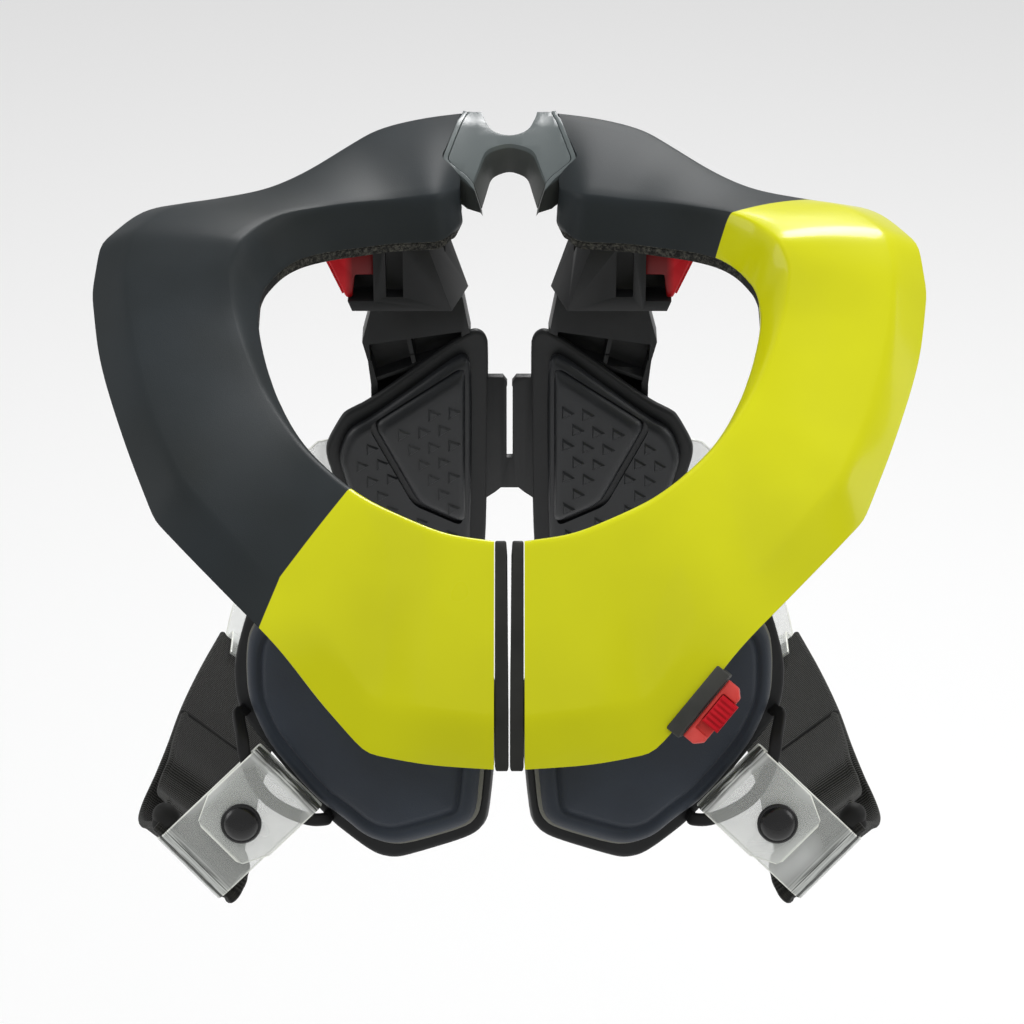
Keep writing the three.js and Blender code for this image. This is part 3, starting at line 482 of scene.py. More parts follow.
# The tray under the cover: a moulded black shell that the foam is bonded to. Its inner edge shows as a
# thin dark line under the neck edge, and its whole underside faces the shoulders.
def black_paint(base, worn, rough=0.45):
    def paint(place):
        cloud = place.noise(60.0, 3.0)
        grain = place.noise(3200.0, 2.0)
        return {
            "Base Color": cloud.step(0.3, 0.75).blend(base, worn),
            "Roughness": cloud * 0.12 + (rough - 0.04),
            "Normal": grain.bump(0.00008, 0.5),
        }
    return paint


def tray_paint(place):
    """Black plastic, and at the rear inner edge the raw foam that stands out under the cover"""
    paint = black_paint(colour(22, 23, 24), colour(30, 31, 32), 0.55)(place)
    raw = place.mark("raw").step(0.4, 0.6)
    crumbs = place.noise(700.0, 5.0, 0.75)
    foam = crumbs.step(0.44, 0.62).blend(colour(30, 30, 29), colour(88, 87, 80))
    return {
        "Base Color": raw.blend(paint["Base Color"], foam),
        "Roughness": paint["Roughness"].math("MAXIMUM", raw * 0.95),
        "Normal": (crumbs * raw).bump(0.0012, 1.0),
    }


tray_look = look("tray_black", tray_paint, Specular_IOR_Level=0.3)


def tray_rings():
    up, foot, edge, under = (rows[k] for k in ("up", "foot", "edge", "under"))
    low = -GAP - CHASSIS_WALL
    a, b = edge - up * GAP, foot - up * GAP
    c, d = foot + up * low, edge - under * CHASSIS_WALL + up * low
    columns = [a, (a + b) / 2, *rounded(a, b, c, 0.5, 0.5, 3), *rounded(b, c, d, 1.1, 1.1, 4),
               (c + d) / 2, *rounded(c, d, a, 1.1, 1.1, 4)]
    return np.stack(columns, axis=1)


TRAY_RAW_FROM, TRAY_RAW_BLEND = 40, 12
rings = tray_rings()
tray_raw = np.zeros(rings.shape[:2])
tray_raw[:, 2:8] = np.clip((rows["foot"][:, 1:2] - TRAY_RAW_FROM) / TRAY_RAW_BLEND, 0, 1)
for side, hand in SIDES:
    tray = make(f"tray_{hand}", skin(rings), tray_look, side, {"raw": tray_raw})
    carve(tray, rear_room, side)
    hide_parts(f"chassis_{hand}")
    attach(tray, f"{hand}_half")


# The rear bridge and its two bezels: satin grey moulded plastic. The bridge is one flexible piece, with its
# faces cut across the waist where the real one bends when the front opens; the bezels are the frames that the
# covers end in.
def bridge_paint(place):
    cloud = place.noise(35.0, 3.0)
    depth = place.part(1) * REAR_SLOPE - place.part(2) + (CREASE_Z - CREASE_Y * REAR_SLOPE) * MM
    wall = depth.step(0.0001, 0.0007) * (1 - place.part(1).step((HORN_FROM - 1) * MM, HORN_FROM * MM))
    grey = cloud.blend(colour(82, 89, 90), colour(94, 101, 101))
    return {
        "Base Color": wall.blend(grey, colour(58, 61, 59)),
        "Roughness": cloud * 0.06 + wall * 0.2 + 0.25,
        "Normal": place.noise(2400.0, 2.0).bump(0.00005, 0.4),
    }


def sliced(made, xs=(), ys=()):
    """Cuts a piece's faces at places across, so that they can bend there"""
    work = bmesh.new()
    work.from_mesh(made.data)
    for places, normal in ((xs, (1, 0, 0)), (ys, (0, 1, 0))):
        for at in places:
            bmesh.ops.bisect_plane(work, geom=work.verts[:] + work.edges[:] + work.faces[:],
                                   plane_co=Vector(normal) * at * MM, plane_no=normal)
    work.to_mesh(made.data)
    work.free()


# In front of its waist, the walls between the bridge's legs lean towards the middle as they go down
WAIST_AT = CREASE_Y + 0.5 * (LIP_Y - CREASE_Y)
LEG_BEND, LEG_SPREAD, LEG_LEAN = 9.2, 0.28, 0.76


def on_slope(made, lift=0.0):
    """Sets a flat block's upper points to the bridge's top and its lower ones to the bridge's floor"""
    for vertex in made.data.vertices:
        x, y, z = (c / MM for c in vertex.co)
        floor_z = CREASE_Z + (y - CREASE_Y) * REAR_SLOPE - BRIDGE_DEPTH
        vertex.co.z = (bridge_top(x, y) + lift if z > 0 else min(floor_z, bridge_top(x, y) - 4)) * MM
        if z <= 0 and y < WAIST_AT and abs(x) < LEG_BEND + (WAIST_AT - y) * LEG_SPREAD:
            vertex.co.x *= LEG_LEAN
    made.data.update()


bridge_look = look("bridge_grey", bridge_paint, Specular_IOR_Level=0.6)
BEVEL_STOP = {"limit_method": "ANGLE", "angle_limit": math.radians(28)}
slices = [*np.arange(96, 123, 4), HORN_FROM, 127, HORN_TO]
wings = [at * side for at in range(12, 25, 2) for side in (-1, 1)]
mirrored = [(-x, y) for x, y in BRIDGE_OUTLINE[1:-1]][::-1]
bridge_plan = filleted(BRIDGE_OUTLINE + mirrored, BRIDGE_BENDS + BRIDGE_BENDS[-2:0:-1])
bridge = make("bridge_h", plan_block(bridge_plan, 1, -1), bridge_look)
sliced(bridge, (-7, -5, -3, -1, 1, 3, 5, 7, *wings), slices)
on_slope(bridge)
settle(bridge, [("BEVEL", {"width": 0.0009, "segments": 3, **BEVEL_STOP})], 40)
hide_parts("rear_bridge")
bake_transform(bridge)
bezel_plan = filleted([*bridge_side(GAP + BEZEL_WIDTH), *bridge_side(GAP)[::-1]],
                      (0, 1.6, 2.2, 1.4, 0, 0, 1.2, 1.7, 1.5, 0))
for side, hand in SIDES:
    bezel = make(f"bezel_frame_{hand}", plan_block(bezel_plan, 1, -1), bridge_look, side)
    sliced(bezel, wings, slices)
    on_slope(bezel, 0.15)
    settle(bezel, [("BEVEL", {"width": 0.0004, "segments": 2, **BEVEL_STOP})])
    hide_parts(f"bezel_{hand}")
    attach(bezel, f"{hand}_half")


# Plain moulded parts keep their nodes' solids: a copy is welded, its flat faces are joined and its edges
# get the small radius of a mould. Black plastic, and the red of the parts that a thumb moves.
black_look = look("black_plastic", black_paint(colour(24, 25, 26), colour(33, 34, 35)),
                  Specular_IOR_Level=0.35)
end_look = look("seam_strip", black_paint(colour(30, 30, 28), colour(42, 42, 39), 0.5),
                Specular_IOR_Level=0.35)
dark_look = look("bracket_grey", black_paint(colour(52, 53, 50), colour(66, 66, 62), 0.5),
                 Specular_IOR_Level=0.4)
# Painted shade on the clips' inner ends: it starts at the first distance from the middle, in metres, and is
# full at the second
CLIP_PAINTED_SHADE_FROM, CLIP_PAINTED_SHADE_AT = 0.0605, 0.0575


def red_paint(base, pale, painted_shade=None):
    """Red plastic, with painted shade darkening the clips' inner ends, where they lie in their housings'
    shade
    """
    def paint(place):
        cloud = place.noise(150.0, 2.0)
        red = cloud.step(0.3, 0.7).blend(base, pale)
        if painted_shade:
            red = place.part(0).math("ABSOLUTE").step(CLIP_PAINTED_SHADE_FROM, CLIP_PAINTED_SHADE_AT).blend(red, painted_shade)
        return {
            "Base Color": red,
            "Roughness": cloud * 0.1 + 0.28,
            "Normal": place.noise(3000.0, 2.0).bump(0.00005, 0.35),
        }
    return paint


# The clip's third colour is the painted shade on its inner ends
red_look = look("clip_red", red_paint(colour(205, 8, 24), colour(216, 14, 30), colour(120, 16, 18)),
                Specular_IOR_Level=0.25)
frame_look = look("frame_red", red_paint(colour(216, 70, 64), colour(224, 84, 78)), Specular_IOR_Level=0.25)
thumb_look = look("thumb_red", red_paint(colour(190, 10, 28), colour(206, 22, 38)), Specular_IOR_Level=0.25)


def welded(node, name, finish):
    """A copy of a node's solid with its points joined and its flat faces whole"""
    work = bmesh.new()
    work.from_mesh(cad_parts[node].data)
    bmesh.ops.remove_doubles(work, verts=work.verts[:], dist=1e-6)
    bmesh.ops.dissolve_limit(work, angle_limit=math.radians(2), verts=work.verts[:], edges=work.edges[:],
                             use_dissolve_boundaries=False)
    mesh = bpy.data.meshes.new(name)
    work.to_mesh(mesh)
    work.free()
    mesh.materials.append(finish)
    return new_object(name, mesh)


def moulded(node, name, finish, body, radius):
    """A node's solid with mould radii, in its place"""
    made = welded(node, name, finish)
    settle(made, [("BEVEL", {"width": radius, "segments": 2, "use_clamp_overlap": True,
                             "miter_outer": "MITER_ARC", **BEVEL_STOP})], 32)
    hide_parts(node)
    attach(made, body)
    return made


def front_block(outline, near, far):
    """A block over a front-view outline between two depths"""
    return skin([[(x, y, z) for x, z in outline] for y in (near, far)])


# In front view: the strut's opening under a slanting rim, the rib in it, the piece trimmed off the strut's
# outer side, and a grip rib on the clip's outer face
STRUT_OPENING = [(18, -31.5), (52.5, -37), (52, -44), (17.5, -38.5)]
STRUT_RIB = [(37.2, -33), (38.8, -33), (37.2, -42), (35.6, -42)]
STRUT_TRIM = [(52.6, -50), (56, -50), (56, -58), (52.05, -58), (52.05, -54)]
CLIP_RIB = [(69.3, 9.2), (69.9, 9.0), (61.6, -10.6), (61.0, -10.4)]
CLIP_RIBS_AT, CLIP_RIB_DEPTH = (88.8, 90.4, 92.0, 93.6), 0.8
for side, hand in SIDES:
    moulded(f"end_plate_{hand}", f"seam_strip_{hand}", end_look, f"{hand}_half", 0.0006)
    moulded(f"strut_housing_{hand}", f"housing_{hand}", black_look, f"{hand}_half", 0.0006)
    moulded(f"adjust_clip_{hand}", f"red_clip_{hand}", red_look, f"{hand}_clip", 0.0007)
    arm = moulded(f"strut_{hand}", f"strut_arm_{hand}", black_look, f"{hand}_half", 0.0004)
    for outline, far in ((STRUT_OPENING, 105), (STRUT_TRIM, 120)):
        carve(arm, front_block(outline, 95, far), side, 32)
    details = [(f"strut_rib_{hand}", "strut", "half", "black_plastic", black_look,
                front_block(STRUT_RIB, 98, 106))]
    details += [(f"clip_rib_{hand}_{i}", "adjust_clip", "clip", "red_plastic", red_look,
                 front_block(CLIP_RIB, at, at + CLIP_RIB_DEPTH)) for i, at in enumerate(CLIP_RIBS_AT)]
    for name, node, body, slot, finish, shape in details:
        rib = make(name, shape, finish, side)
        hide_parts(f"{node}_{hand}")
        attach(rib, f"{hand}_{body}")
moulded("latch_bracket", "latch_bar", dark_look, "left_half", 0.0007)
moulded("latch_frame", "latch_surround", frame_look, "left_half", 0.0006)
moulded("latch_thumb", "latch_button", thumb_look, "latch_thumb", 0.00025)


# Chest supports: a black moulded plate with a raised rim, and on it a blue-grey foam pad with a groove
# pressed round it. The pad's edge is cut from sheet foam and shows as a rough pale line.
def plane(at, yaw, pitch):
    """Places on a tilted plane: across, up and out from a point"""
    c, s = math.cos(math.radians(yaw)), math.sin(math.radians(yaw))
    across = np.array([c, s, 0])
    rise = np.array([-s * math.sin(math.radians(pitch)), c * math.sin(math.radians(pitch)),
                     math.cos(math.radians(pitch))])
    out = np.cross(across, rise)
    return lambda u, v, n: np.array(at) + np.multiply.outer(u, across) + np.multiply.outer(v, rise) \
        + np.multiply.outer(n, out)


def softened(outline, rounds=2, cut=0.22):
    """An outline with its corners cut again and again until it runs smoothly"""
    points = np.asarray(outline, float)
    for _ in range(rounds):
        after = np.roll(points, -1, axis=0)
        points = np.stack([points + (after - points) * cut, after + (points - after) * cut],
                          axis=1).reshape(-1, 2)
    return points


def pressed(at, outline, levels, crown=0.0, steps=6, bend=softened):
    """A moulded sheet: rings at (inset, height), then a field that closes on the middle with a crown"""
    flats = [bend(inset(outline, d)) for d, _ in levels]
    rings = [at(*flat.T, np.full(len(flat), n)) for flat, (_, n) in zip(flats, levels)]
    flat, height = flats[-1], levels[-1][1]
    centre = flat.mean(axis=0)
    for i in range(1, steps + 1):
        share = i / (steps + 0.4)
        ring = flat + (centre - flat) * share
        rings.append(at(*ring.T, np.full(len(ring), height + crown * (1 - (1 - share) ** 2))))
    return skin(rings)


CHEST_WIDTH = 94.5
CHEST_DROP = 55.2
chest = plane((5, -106, -68), 18, 15)
CHEST_OUTLINE = [(u * CHEST_WIDTH, v * CHEST_DROP) for u, v in (
    (0, 0.36), (0, -0.59), (0.02, -0.7), (0.075, -0.78), (0.29, -0.97), (0.34, -1), (0.4, -1), (0.47, -0.95),
    (0.605, -0.82), (0.78, -0.54), (0.96, -0.25), (0.99, -0.09), (1, 0.1), (0.97, 0.38), (0.93, 0.6),
    (0.8, 0.9), (0.55, 0.98), (0.3, 0.7))]
# The plate's and the pad's edges from the back to the front: how far inwards, and how high
CHEST_LEVELS = [
    (2.0, -5), (0.7, -4.9), (0.15, -4.4), (0, -3.8), (0, -1.0), (0.25, -0.4), (0.8, 0), (1.6, 0.1), (2.4, 0)]
PAD_LEVELS = [
    (-0.7, 0.3), (-0.8, 1.0), (-0.5, 1.6), (0.2, 1.8), (0.3, 3.1), (0.6, 4.0), (1.2, 4.9), (2.1, 5.7),
    (3.1, 6.2), (4.2, 6.3), (5.0, 5.9), (5.5, 5.3), (6.0, 5.1), (6.5, 5.4), (7.1, 6.1), (7.8, 6.7),
    (8.8, 7.0)]
PAD_CROWN, PAD_TRIM_RINGS = 0.8, 4
ROOM_INSIDE, ROOM_RISE = 3, 67
PAD_OUTLINE = [(u * CHEST_WIDTH, v * CHEST_DROP) for u, v in (
    (0.03, 0.04), (0.03, -0.5), (0.038, -0.6), (0.075, -0.68), (0.29, -0.865), (0.36, -0.885), (0.44, -0.865),
    (0.535, -0.765), (0.64, -0.68), (0.825, -0.39), (0.88, -0.245), (0.925, -0.09), (0.94, 0.15),
    (0.935, 0.32), (0.88, 0.48), (0.72, 0.58), (0.42, 0.5), (0.14, 0.26))]


def foam_paint(place):
    cloud = place.noise(26.0, 3.0)
    cells = place.noise(1500.0, 3.0, 0.65)
    trim = (place.mark("trim") + (place.noise(500.0, 3.0) - 0.5) * 0.9).step(0.55, 0.8)
    base = cloud.step(0.3, 0.75).blend(colour(36, 42, 51), colour(46, 54, 65))
    return {
        "Base Color": trim.blend(base, colour(120, 120, 112)),
        "Roughness": cloud * 0.1 + trim * 0.3 + 0.5,
        "Normal": (cells + place.noise(600.0, 4.0) * trim * 5.0).bump(0.00012, 0.7),
    }


chest_foam = look("chest_foam", foam_paint, Sheen_Weight=0.1, Specular_IOR_Level=0.35)
# The room that the collar takes up, from just under the tray, where the plates and the pads end
below = rows["up"] * (-2 * GAP - CHASSIS_WALL)
room_ring = [rows["foot"] - rows["under"] * ROOM_INSIDE + below,
             rows["turn"] + rows["under"] * LIP_TURN + below]
room_ring += [room_ring[1] + rows["up"] * ROOM_RISE, room_ring[0] + rows["up"] * ROOM_RISE]
room_rings = np.stack(room_ring, axis=1)
collar_room = skin([room_rings[0] * (0, 1, 1) - (2, 0, 0), *room_rings])
pad_shape = pressed(chest, PAD_OUTLINE, PAD_LEVELS, PAD_CROWN)
trim = np.zeros(len(pad_shape[0]))
trim[:PAD_TRIM_RINGS * len(softened(PAD_OUTLINE))] = 1
for side, hand in SIDES:
    plate = make(f"chest_shell_{hand}", pressed(chest, CHEST_OUTLINE, CHEST_LEVELS), black_look, side)
    pad = make(f"chest_foam_{hand}", pad_shape, chest_foam, side, {"trim": trim}, 50)
    carve(plate, collar_room, side)
    carve(pad, collar_room, side, 50)
    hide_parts(f"chest_plate_{hand}")
    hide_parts(f"chest_pad_{hand}")
    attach(plate, f"{hand}_half")
    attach(pad, f"{hand}_half")


# The band at the chest plate's rim, and the clear strip that is folded round it, closed with a snap and
# rolled round the elastic at its outer end. Black rubber band, 1 mm clear vinyl.
TAB_PITCH = math.radians(20)
TAB_TURN = math.radians(44)
TAB_AT = np.array([91.4, -106.4, -107.9])
TAB_OUT = np.array([0, -math.cos(TAB_PITCH), math.sin(TAB_PITCH)])
TAB_DOWN = np.array([0, -math.sin(TAB_PITCH), -math.cos(TAB_PITCH)])
TAB_RUN = np.array([math.cos(TAB_TURN), 0, 0]) + TAB_DOWN * math.sin(TAB_TURN)
TAB_WIDE = np.cross(TAB_RUN, TAB_OUT)
TAB_WIDTH, TAB_WALL = 30.0, 1.0
TAB_FOLD, TAB_ROLL = 2.0, 4.2
TAB_TO_FOLD, TAB_TO_ROLL, TAB_TO_END = 21.4, 22.0, 11.0
ROLL_DEPTH = -TAB_FOLD - TAB_ROLL


def on_tab(d, w, n):
    return TAB_AT + d * TAB_RUN + w * TAB_WIDE + n * TAB_OUT


def eased(points, steps):
    """A smooth line through points, with the same number of steps between each two"""
    points = np.asarray(points, float)
    ends = np.concatenate([2 * points[:1] - points[1:2], points, 2 * points[-1:] - points[-2:-1]])
    line = []
    for a, b, c, d in zip(ends, ends[1:], ends[2:], ends[3:]):
        for t in np.arange(steps) / steps:
            line.append(b + (c - a) * t / 2 + (2 * a - 5 * b + 4 * c - d) * t**2 / 2
                        + (3 * b - a - 3 * c + d) * t**3 / 2)
    return np.array([*line, points[-1]])


def band(path, wide, section):
    """A strap along a path: at each point the section's (across, out) in millimetres, wide across it"""
    path, wide = np.asarray(path, float), np.asarray(wide, float)
    tangent = unit(np.gradient(path, axis=0))
    wide = unit(wide - tangent * np.einsum("ij,ij->i", wide, tangent)[:, None])
    out = np.cross(tangent, wide)
    across, depth = np.asarray(section, float).T
    return path[:, None] + wide[:, None] * across[None, :, None] + out[:, None] * depth[None, :, None]


def slab_section(width, wall, columns=8, bead=0.0):
    """The outline of a flat strap across its run, with rounded edges that may be thicker than it"""
    half = width / 2
    edge = wall / 2 + bead
    right = [(half - edge + edge * math.cos(a), edge * math.sin(a))
             for a in np.linspace(-2.2 if bead else -math.pi / 2, 2.2 if bead else math.pi / 2, 9)]
    inner = half - 2.2 * edge
    flat = np.linspace(inner, -inner, columns)
    return [*right, *((x, wall / 2) for x in flat), *((-x, -z) for x, z in right),
            *((x, -wall / 2) for x in flat[::-1])]


def strap_marks(path, section, width):
    """Millimetres along a strap, and its place across as a share of its half width"""
    length = np.concatenate([[0], np.cumsum(np.linalg.norm(np.diff(path, axis=0), axis=1))])
    rim = np.array(section)[:, 0] / (width / 2)
    return {"run": np.repeat(length[:, None], len(section), axis=1),
            "rim": np.repeat(rim[None], len(path), axis=0)}


# Millimetres along the tab: its fold's middle, how far from there the painted dark reflection streaks fade,
# and where it rolls up
FOLD_AT, FOLD_NEAR, FOLD_FAR = 35.5, 3.0, 6.5
ROLL_FROM, ROLL_FULL = 79.0, 82.0


def clear_paint(place):
    run, rim = place.mark("run"), place.mark("rim").math("ABSOLUTE")
    fold = 1 - (run - FOLD_AT).math("ABSOLUTE").step(FOLD_NEAR, FOLD_FAR)
    roll = run.step(ROLL_FROM, ROLL_FULL)
    bent = fold.math("MAXIMUM", roll)
    lines = place.node("ShaderNodeCombineXYZ", (), {0: run * 0.55, 1: rim * 0.35, 2: roll * 3.0})
    streak = lines.noise(1.0, 3.0, 0.6)
    # Painted sheen: whitish patches that are paler and less clear
    painted_sheen = place.noise(34.0, 1.0, 0.4).step(0.5, 0.62)
    # Painted highlight: near-white along the tab's long edges and at its starting end
    edge = rim.step(0.955, 0.985).math("MAXIMUM", 1 - run.step(0.3, 0.9))
    # Painted reflection: dark streaks along the fold and the roll
    painted_dark_streaks = streak.step(0.47, 0.56) * bent
    vinyl_with_sheen = painted_sheen.blend(colour(232, 235, 231), colour(250, 252, 250))
    return {
        "Base Color": painted_dark_streaks.blend(edge.blend(vinyl_with_sheen, colour(250, 252, 244)), colour(52, 54, 50)),
        "Alpha": (bent * 0.45 + painted_sheen * 0.18 + edge * 0.55 + 0.26).math("MINIMUM", 0.94),
        "Normal": (streak * bent).bump(0.0006, 0.3),
    }


clear_look = look("clear_vinyl", clear_paint, Roughness=0.08, IOR=1.5)
band_look = look("band_black", black_paint(colour(20, 20, 21), colour(29, 29, 30), 0.5),
                 Specular_IOR_Level=0.35)


def chest_at(u, v, n):
    return chest(u * CHEST_WIDTH, v * CHEST_DROP, n)


def loop_shape():
    upper, lower = (0.94, -0.2), (0.59, -0.79)
    places = [chest_at(*upper, 0.3), chest_at(*upper, 3), chest_at(*upper, 7), on_tab(-20.5, -20.5, -1.2),
              on_tab(-17, -15.5, 0), on_tab(-13.5, -8, 0), on_tab(-12, 0, 0), on_tab(-13.5, 8, 0),
              on_tab(-17, 15.5, 0), chest_at(*lower, 5), chest_at(*lower, 2.5), chest_at(*lower, 0.3)]
    path = eased(places, 5)
    wide = path - on_tab(-TAB_TO_FOLD - 5, 0, 0)
    return skin(band(path, wide, slab_section(4.5, 2.0, 4)))


def tab_path():
    places = [(TAB_TO_END, TAB_FOLD)] + [(d, TAB_FOLD) for d in np.linspace(TAB_TO_END - 1, -TAB_TO_FOLD, 12)]
    places += [(-TAB_TO_FOLD + TAB_FOLD * math.cos(a), TAB_FOLD * math.sin(a))
               for a in np.linspace(math.pi / 2, 1.5 * math.pi, 13)[1:]]
    places += [(d, -TAB_FOLD) for d in np.linspace(-TAB_TO_FOLD, TAB_TO_ROLL, 16)[1:-1]]
    places += [(TAB_TO_ROLL + TAB_ROLL * math.cos(a), ROLL_DEPTH + TAB_ROLL * math.sin(a))
               for a in np.linspace(math.pi / 2, math.pi / 2 - math.radians(105), 14)]
    return places


def tab_shape():
    places = tab_path()
    share = np.interp(np.arange(len(places)), [0, 1, 4], [0.58, 0.72, 1.0])
    section = slab_section(TAB_WIDTH, TAB_WALL, 10)
    centre = np.array([on_tab(d, 0, n) for d, n in places])
    rings = band(centre, [TAB_WIDE] * len(places), section)
    wide = ((rings - centre[:, None]) @ TAB_WIDE)[..., None] * TAB_WIDE
    return skin(rings - wide * (1 - share[:, None, None])), strap_marks(centre, section, TAB_WIDTH)


# Radius and height over the strip
SNAP_PROFILE = [(6.0, 0.0), (6.7, 0.05), (7.0, 0.35), (7.0, 0.9), (6.75, 1.25), (6.3, 1.4), (6.05, 1.35),
                (5.9, 1.6), (5.5, 2.2), (4.8, 2.75), (3.9, 3.1), (2.8, 3.3), (1.6, 3.4), (0.6, 3.4)]


def snap_shape():
    seat = TAB_FOLD + TAB_WALL / 2 + GAP
    angles = np.linspace(0, 2 * math.pi, 48, endpoint=False)
    return skin([[on_tab(r * math.cos(a), r * math.sin(a), seat + n) for a in angles]
                 for r, n in SNAP_PROFILE])


snap_look = look("snap_black", black_paint(colour(20, 20, 21), colour(27, 27, 28), 0.24), Coat_Weight=0.3)
for side, hand in SIDES:
    for name, node, shape, finish, slot in (
        ("rim_band", "pad_loop", (loop_shape(), {}), band_look, "strap_band"),
        ("clear_tab", "front_tab", tab_shape(), clear_look, "clear_strip"),
        ("snap_dome", "snap_cap", (snap_shape(), {}), snap_look, "snap"),
    ):
        piece = make(f"{name}_{hand}", shape[0], finish, side, shape[1])
        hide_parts(f"{node}_{hand}")
        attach(piece, f"{hand}_half")


# The side elastic: a 38 mm ribbed band with round edges. Its hemmed end lies on the run, dips to the clear
# strip's roll, goes round it and comes back in a slack fold; the rear end is held by a clear strip.
ELASTIC_WIDTH = 38.0
ELASTIC_WALL = 1.5
ELASTIC_RUN, ELASTIC_SAG, ELASTIC_IN, ELASTIC_BOW, ELASTIC_LOOP = 140.0, 14.0, 14.0, 5.0, 10.0
ELASTIC_PATH = [  # share of the run behind the roll, height over the run as a share of the fold's depth
    (0.55, 0.3), (0.42, 0.3), (0.31, 0.32), (0.25, 0.05), (0.19, -0.05), (0.13, 0.25), (0.075, 0.5),
    (0.03, 0.42), (0, 0.26), (-0.018, 0), (0, -0.26), (0.05, -0.55), (0.1, -0.95), (0.16, -1.1),
    (0.22, -0.95), (0.3, -0.45), (0.42, -0.05), (0.6, 0), (0.8, 0), (1, 0),
]
STRAP_WIDE = unit(np.array([-0.78, -0.13, -0.61]))
STRAP_LIFT = unit(np.cross([0, 1, 0], STRAP_WIDE))


def strap_base(share):
    bow = ELASTIC_BOW * math.sin(math.pi * clamped(share))
    return on_tab(TAB_TO_ROLL, 0, ROLL_DEPTH) + (bow - ELASTIC_IN * share, ELASTIC_RUN * share,
                                                 -ELASTIC_SAG * share)


def elastic_shape():
    places = [strap_base(back) + STRAP_LIFT * lift * ELASTIC_LOOP for back, lift in ELASTIC_PATH]
    turn = [TAB_WIDE + (STRAP_WIDE - TAB_WIDE) * clamped(back / 0.15) for back, _ in ELASTIC_PATH]
    path, wide = eased(places, 10), eased(turn, 10)
    section = slab_section(ELASTIC_WIDTH, ELASTIC_WALL, 14, 0.5)
    return skin(band(path, wide, section)), strap_marks(path, section, ELASTIC_WIDTH)


def capsule(start, end, radius, rings=6, sides=20):
    """A round bar with domed ends between two places"""
    axis = unit(end - start)
    u = unit(np.cross(axis, (0.3, 0.9, 0.2)))
    w = np.cross(axis, u)
    line = [(start, -math.cos(t), math.sin(t)) for t in np.linspace(0.12, math.pi / 2, rings)]
    line += [(end, math.sin(t), math.cos(t)) for t in np.linspace(0, math.pi / 2 - 0.12, rings)]
    angles = np.linspace(0, 2 * math.pi, sides, endpoint=False)
    return skin([[at + axis * radius * reach + radius * wide * (u * math.cos(a) + w * math.sin(a))
                  for a in angles] for at, reach, wide in line])


def elastic_paint(place):
    run, rim = place.mark("run"), place.mark("rim")
    rib = (run * (2 * math.pi / 1.05)).math("SINE") * 0.5 + 0.5
    yarn = (rim * (2 * math.pi * 24)).math("SINE") * 0.5 + 0.5
    fuzz = place.noise(2200.0, 3.0, 0.7)
    tone = (rib * 0.55 + yarn * 0.2 + fuzz * 0.5).step(0.25, 1.05)
    return {
        "Base Color": tone.blend(colour(14, 14, 13), colour(46, 46, 42)),
        "Roughness": fuzz * 0.15 + 0.75,
        "Normal": (rib * 0.8 + yarn * 0.4 + fuzz * 0.5).bump(0.0003, 0.9),
    }


elastic_look = look("elastic_weave", elastic_paint, Sheen_Weight=0.15, Specular_IOR_Level=0.2)
hem_look = look("elastic_hem", black_paint(colour(18, 18, 18), colour(34, 34, 33), 0.6),
                Specular_IOR_Level=0.3)
elastic_form, elastic_marks = elastic_shape()
hem_at = strap_base(ELASTIC_PATH[0][0]) + STRAP_LIFT * ELASTIC_PATH[0][1] * ELASTIC_LOOP
hem_half = STRAP_WIDE * (ELASTIC_WIDTH / 2 - 0.6)
elastic_bars = {  # ends and radius of the stitched hem, of the core in the roll and of the knob at its end
    "hem": (hem_at - hem_half, hem_at + hem_half, 1.25),
    "roll": (on_tab(TAB_TO_ROLL, -17.2, ROLL_DEPTH), on_tab(TAB_TO_ROLL, 14.5, ROLL_DEPTH), 3.6),
    "knob": (on_tab(TAB_TO_ROLL - 3, -18.8, ROLL_DEPTH), on_tab(TAB_TO_ROLL - 3, -17.0, ROLL_DEPTH), 4.3),
}
for side, hand in SIDES:
    elastic = make(f"side_elastic_{hand}", elastic_form, elastic_look, side, elastic_marks, 60)
    bars = [make(f"elastic_{name}_{hand}", capsule(*bar), hem_look, side)
            for name, bar in elastic_bars.items()]
    for piece in (elastic, *bars):
        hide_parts(f"elastic_strap_{hand}")
        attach(piece, f"{hand}_half")


# Back supports: a black plate with a moulded rubber tread pad that has a raised middle field and small
# three-sided studs, the flexible web between the two plates, and the clear strip from the side elastic.
BACK_WIDTH = 62.0
BACK_TOP = 32.5
BACK_LENGTH = 120.0
back = plane((7, 98, 0), -12, -4)


def back_places(shares):
    return [(u * BACK_WIDTH, -BACK_TOP - v * BACK_LENGTH) for u, v in shares]


BACK_OUTLINE = back_places((
    (0, 0.06), (0, 0.9), (0.06, 0.97), (0.16, 1), (0.46, 1), (0.64, 0.94), (0.84, 0.74), (0.97, 0.48),
    (1, 0.42), (1, 0.37), (0.9, 0.27), (0.86, 0.255), (0.73, 0.225), (0.45, 0.12), (0.26, 0.05),
    (0.13, 0.005), (0.07, 0), (0.02, 0.02)))
BACK_PAD_OUTLINE = back_places((
    (0.11, 0.11), (0.11, 0.9), (0.2, 0.95), (0.44, 0.95), (0.61, 0.89), (0.78, 0.71), (0.91, 0.47),
    (0.935, 0.4), (0.87, 0.31), (0.72, 0.27), (0.45, 0.17), (0.24, 0.09), (0.16, 0.07)))
CREST_OUTLINE = back_places(((0.165, 0.1), (0.155, 0.7), (0.45, 0.6), (0.725, 0.285)))
MOAT_OUTLINE = [(u + 1.5, v - 0.9) for u, v in CREST_OUTLINE]
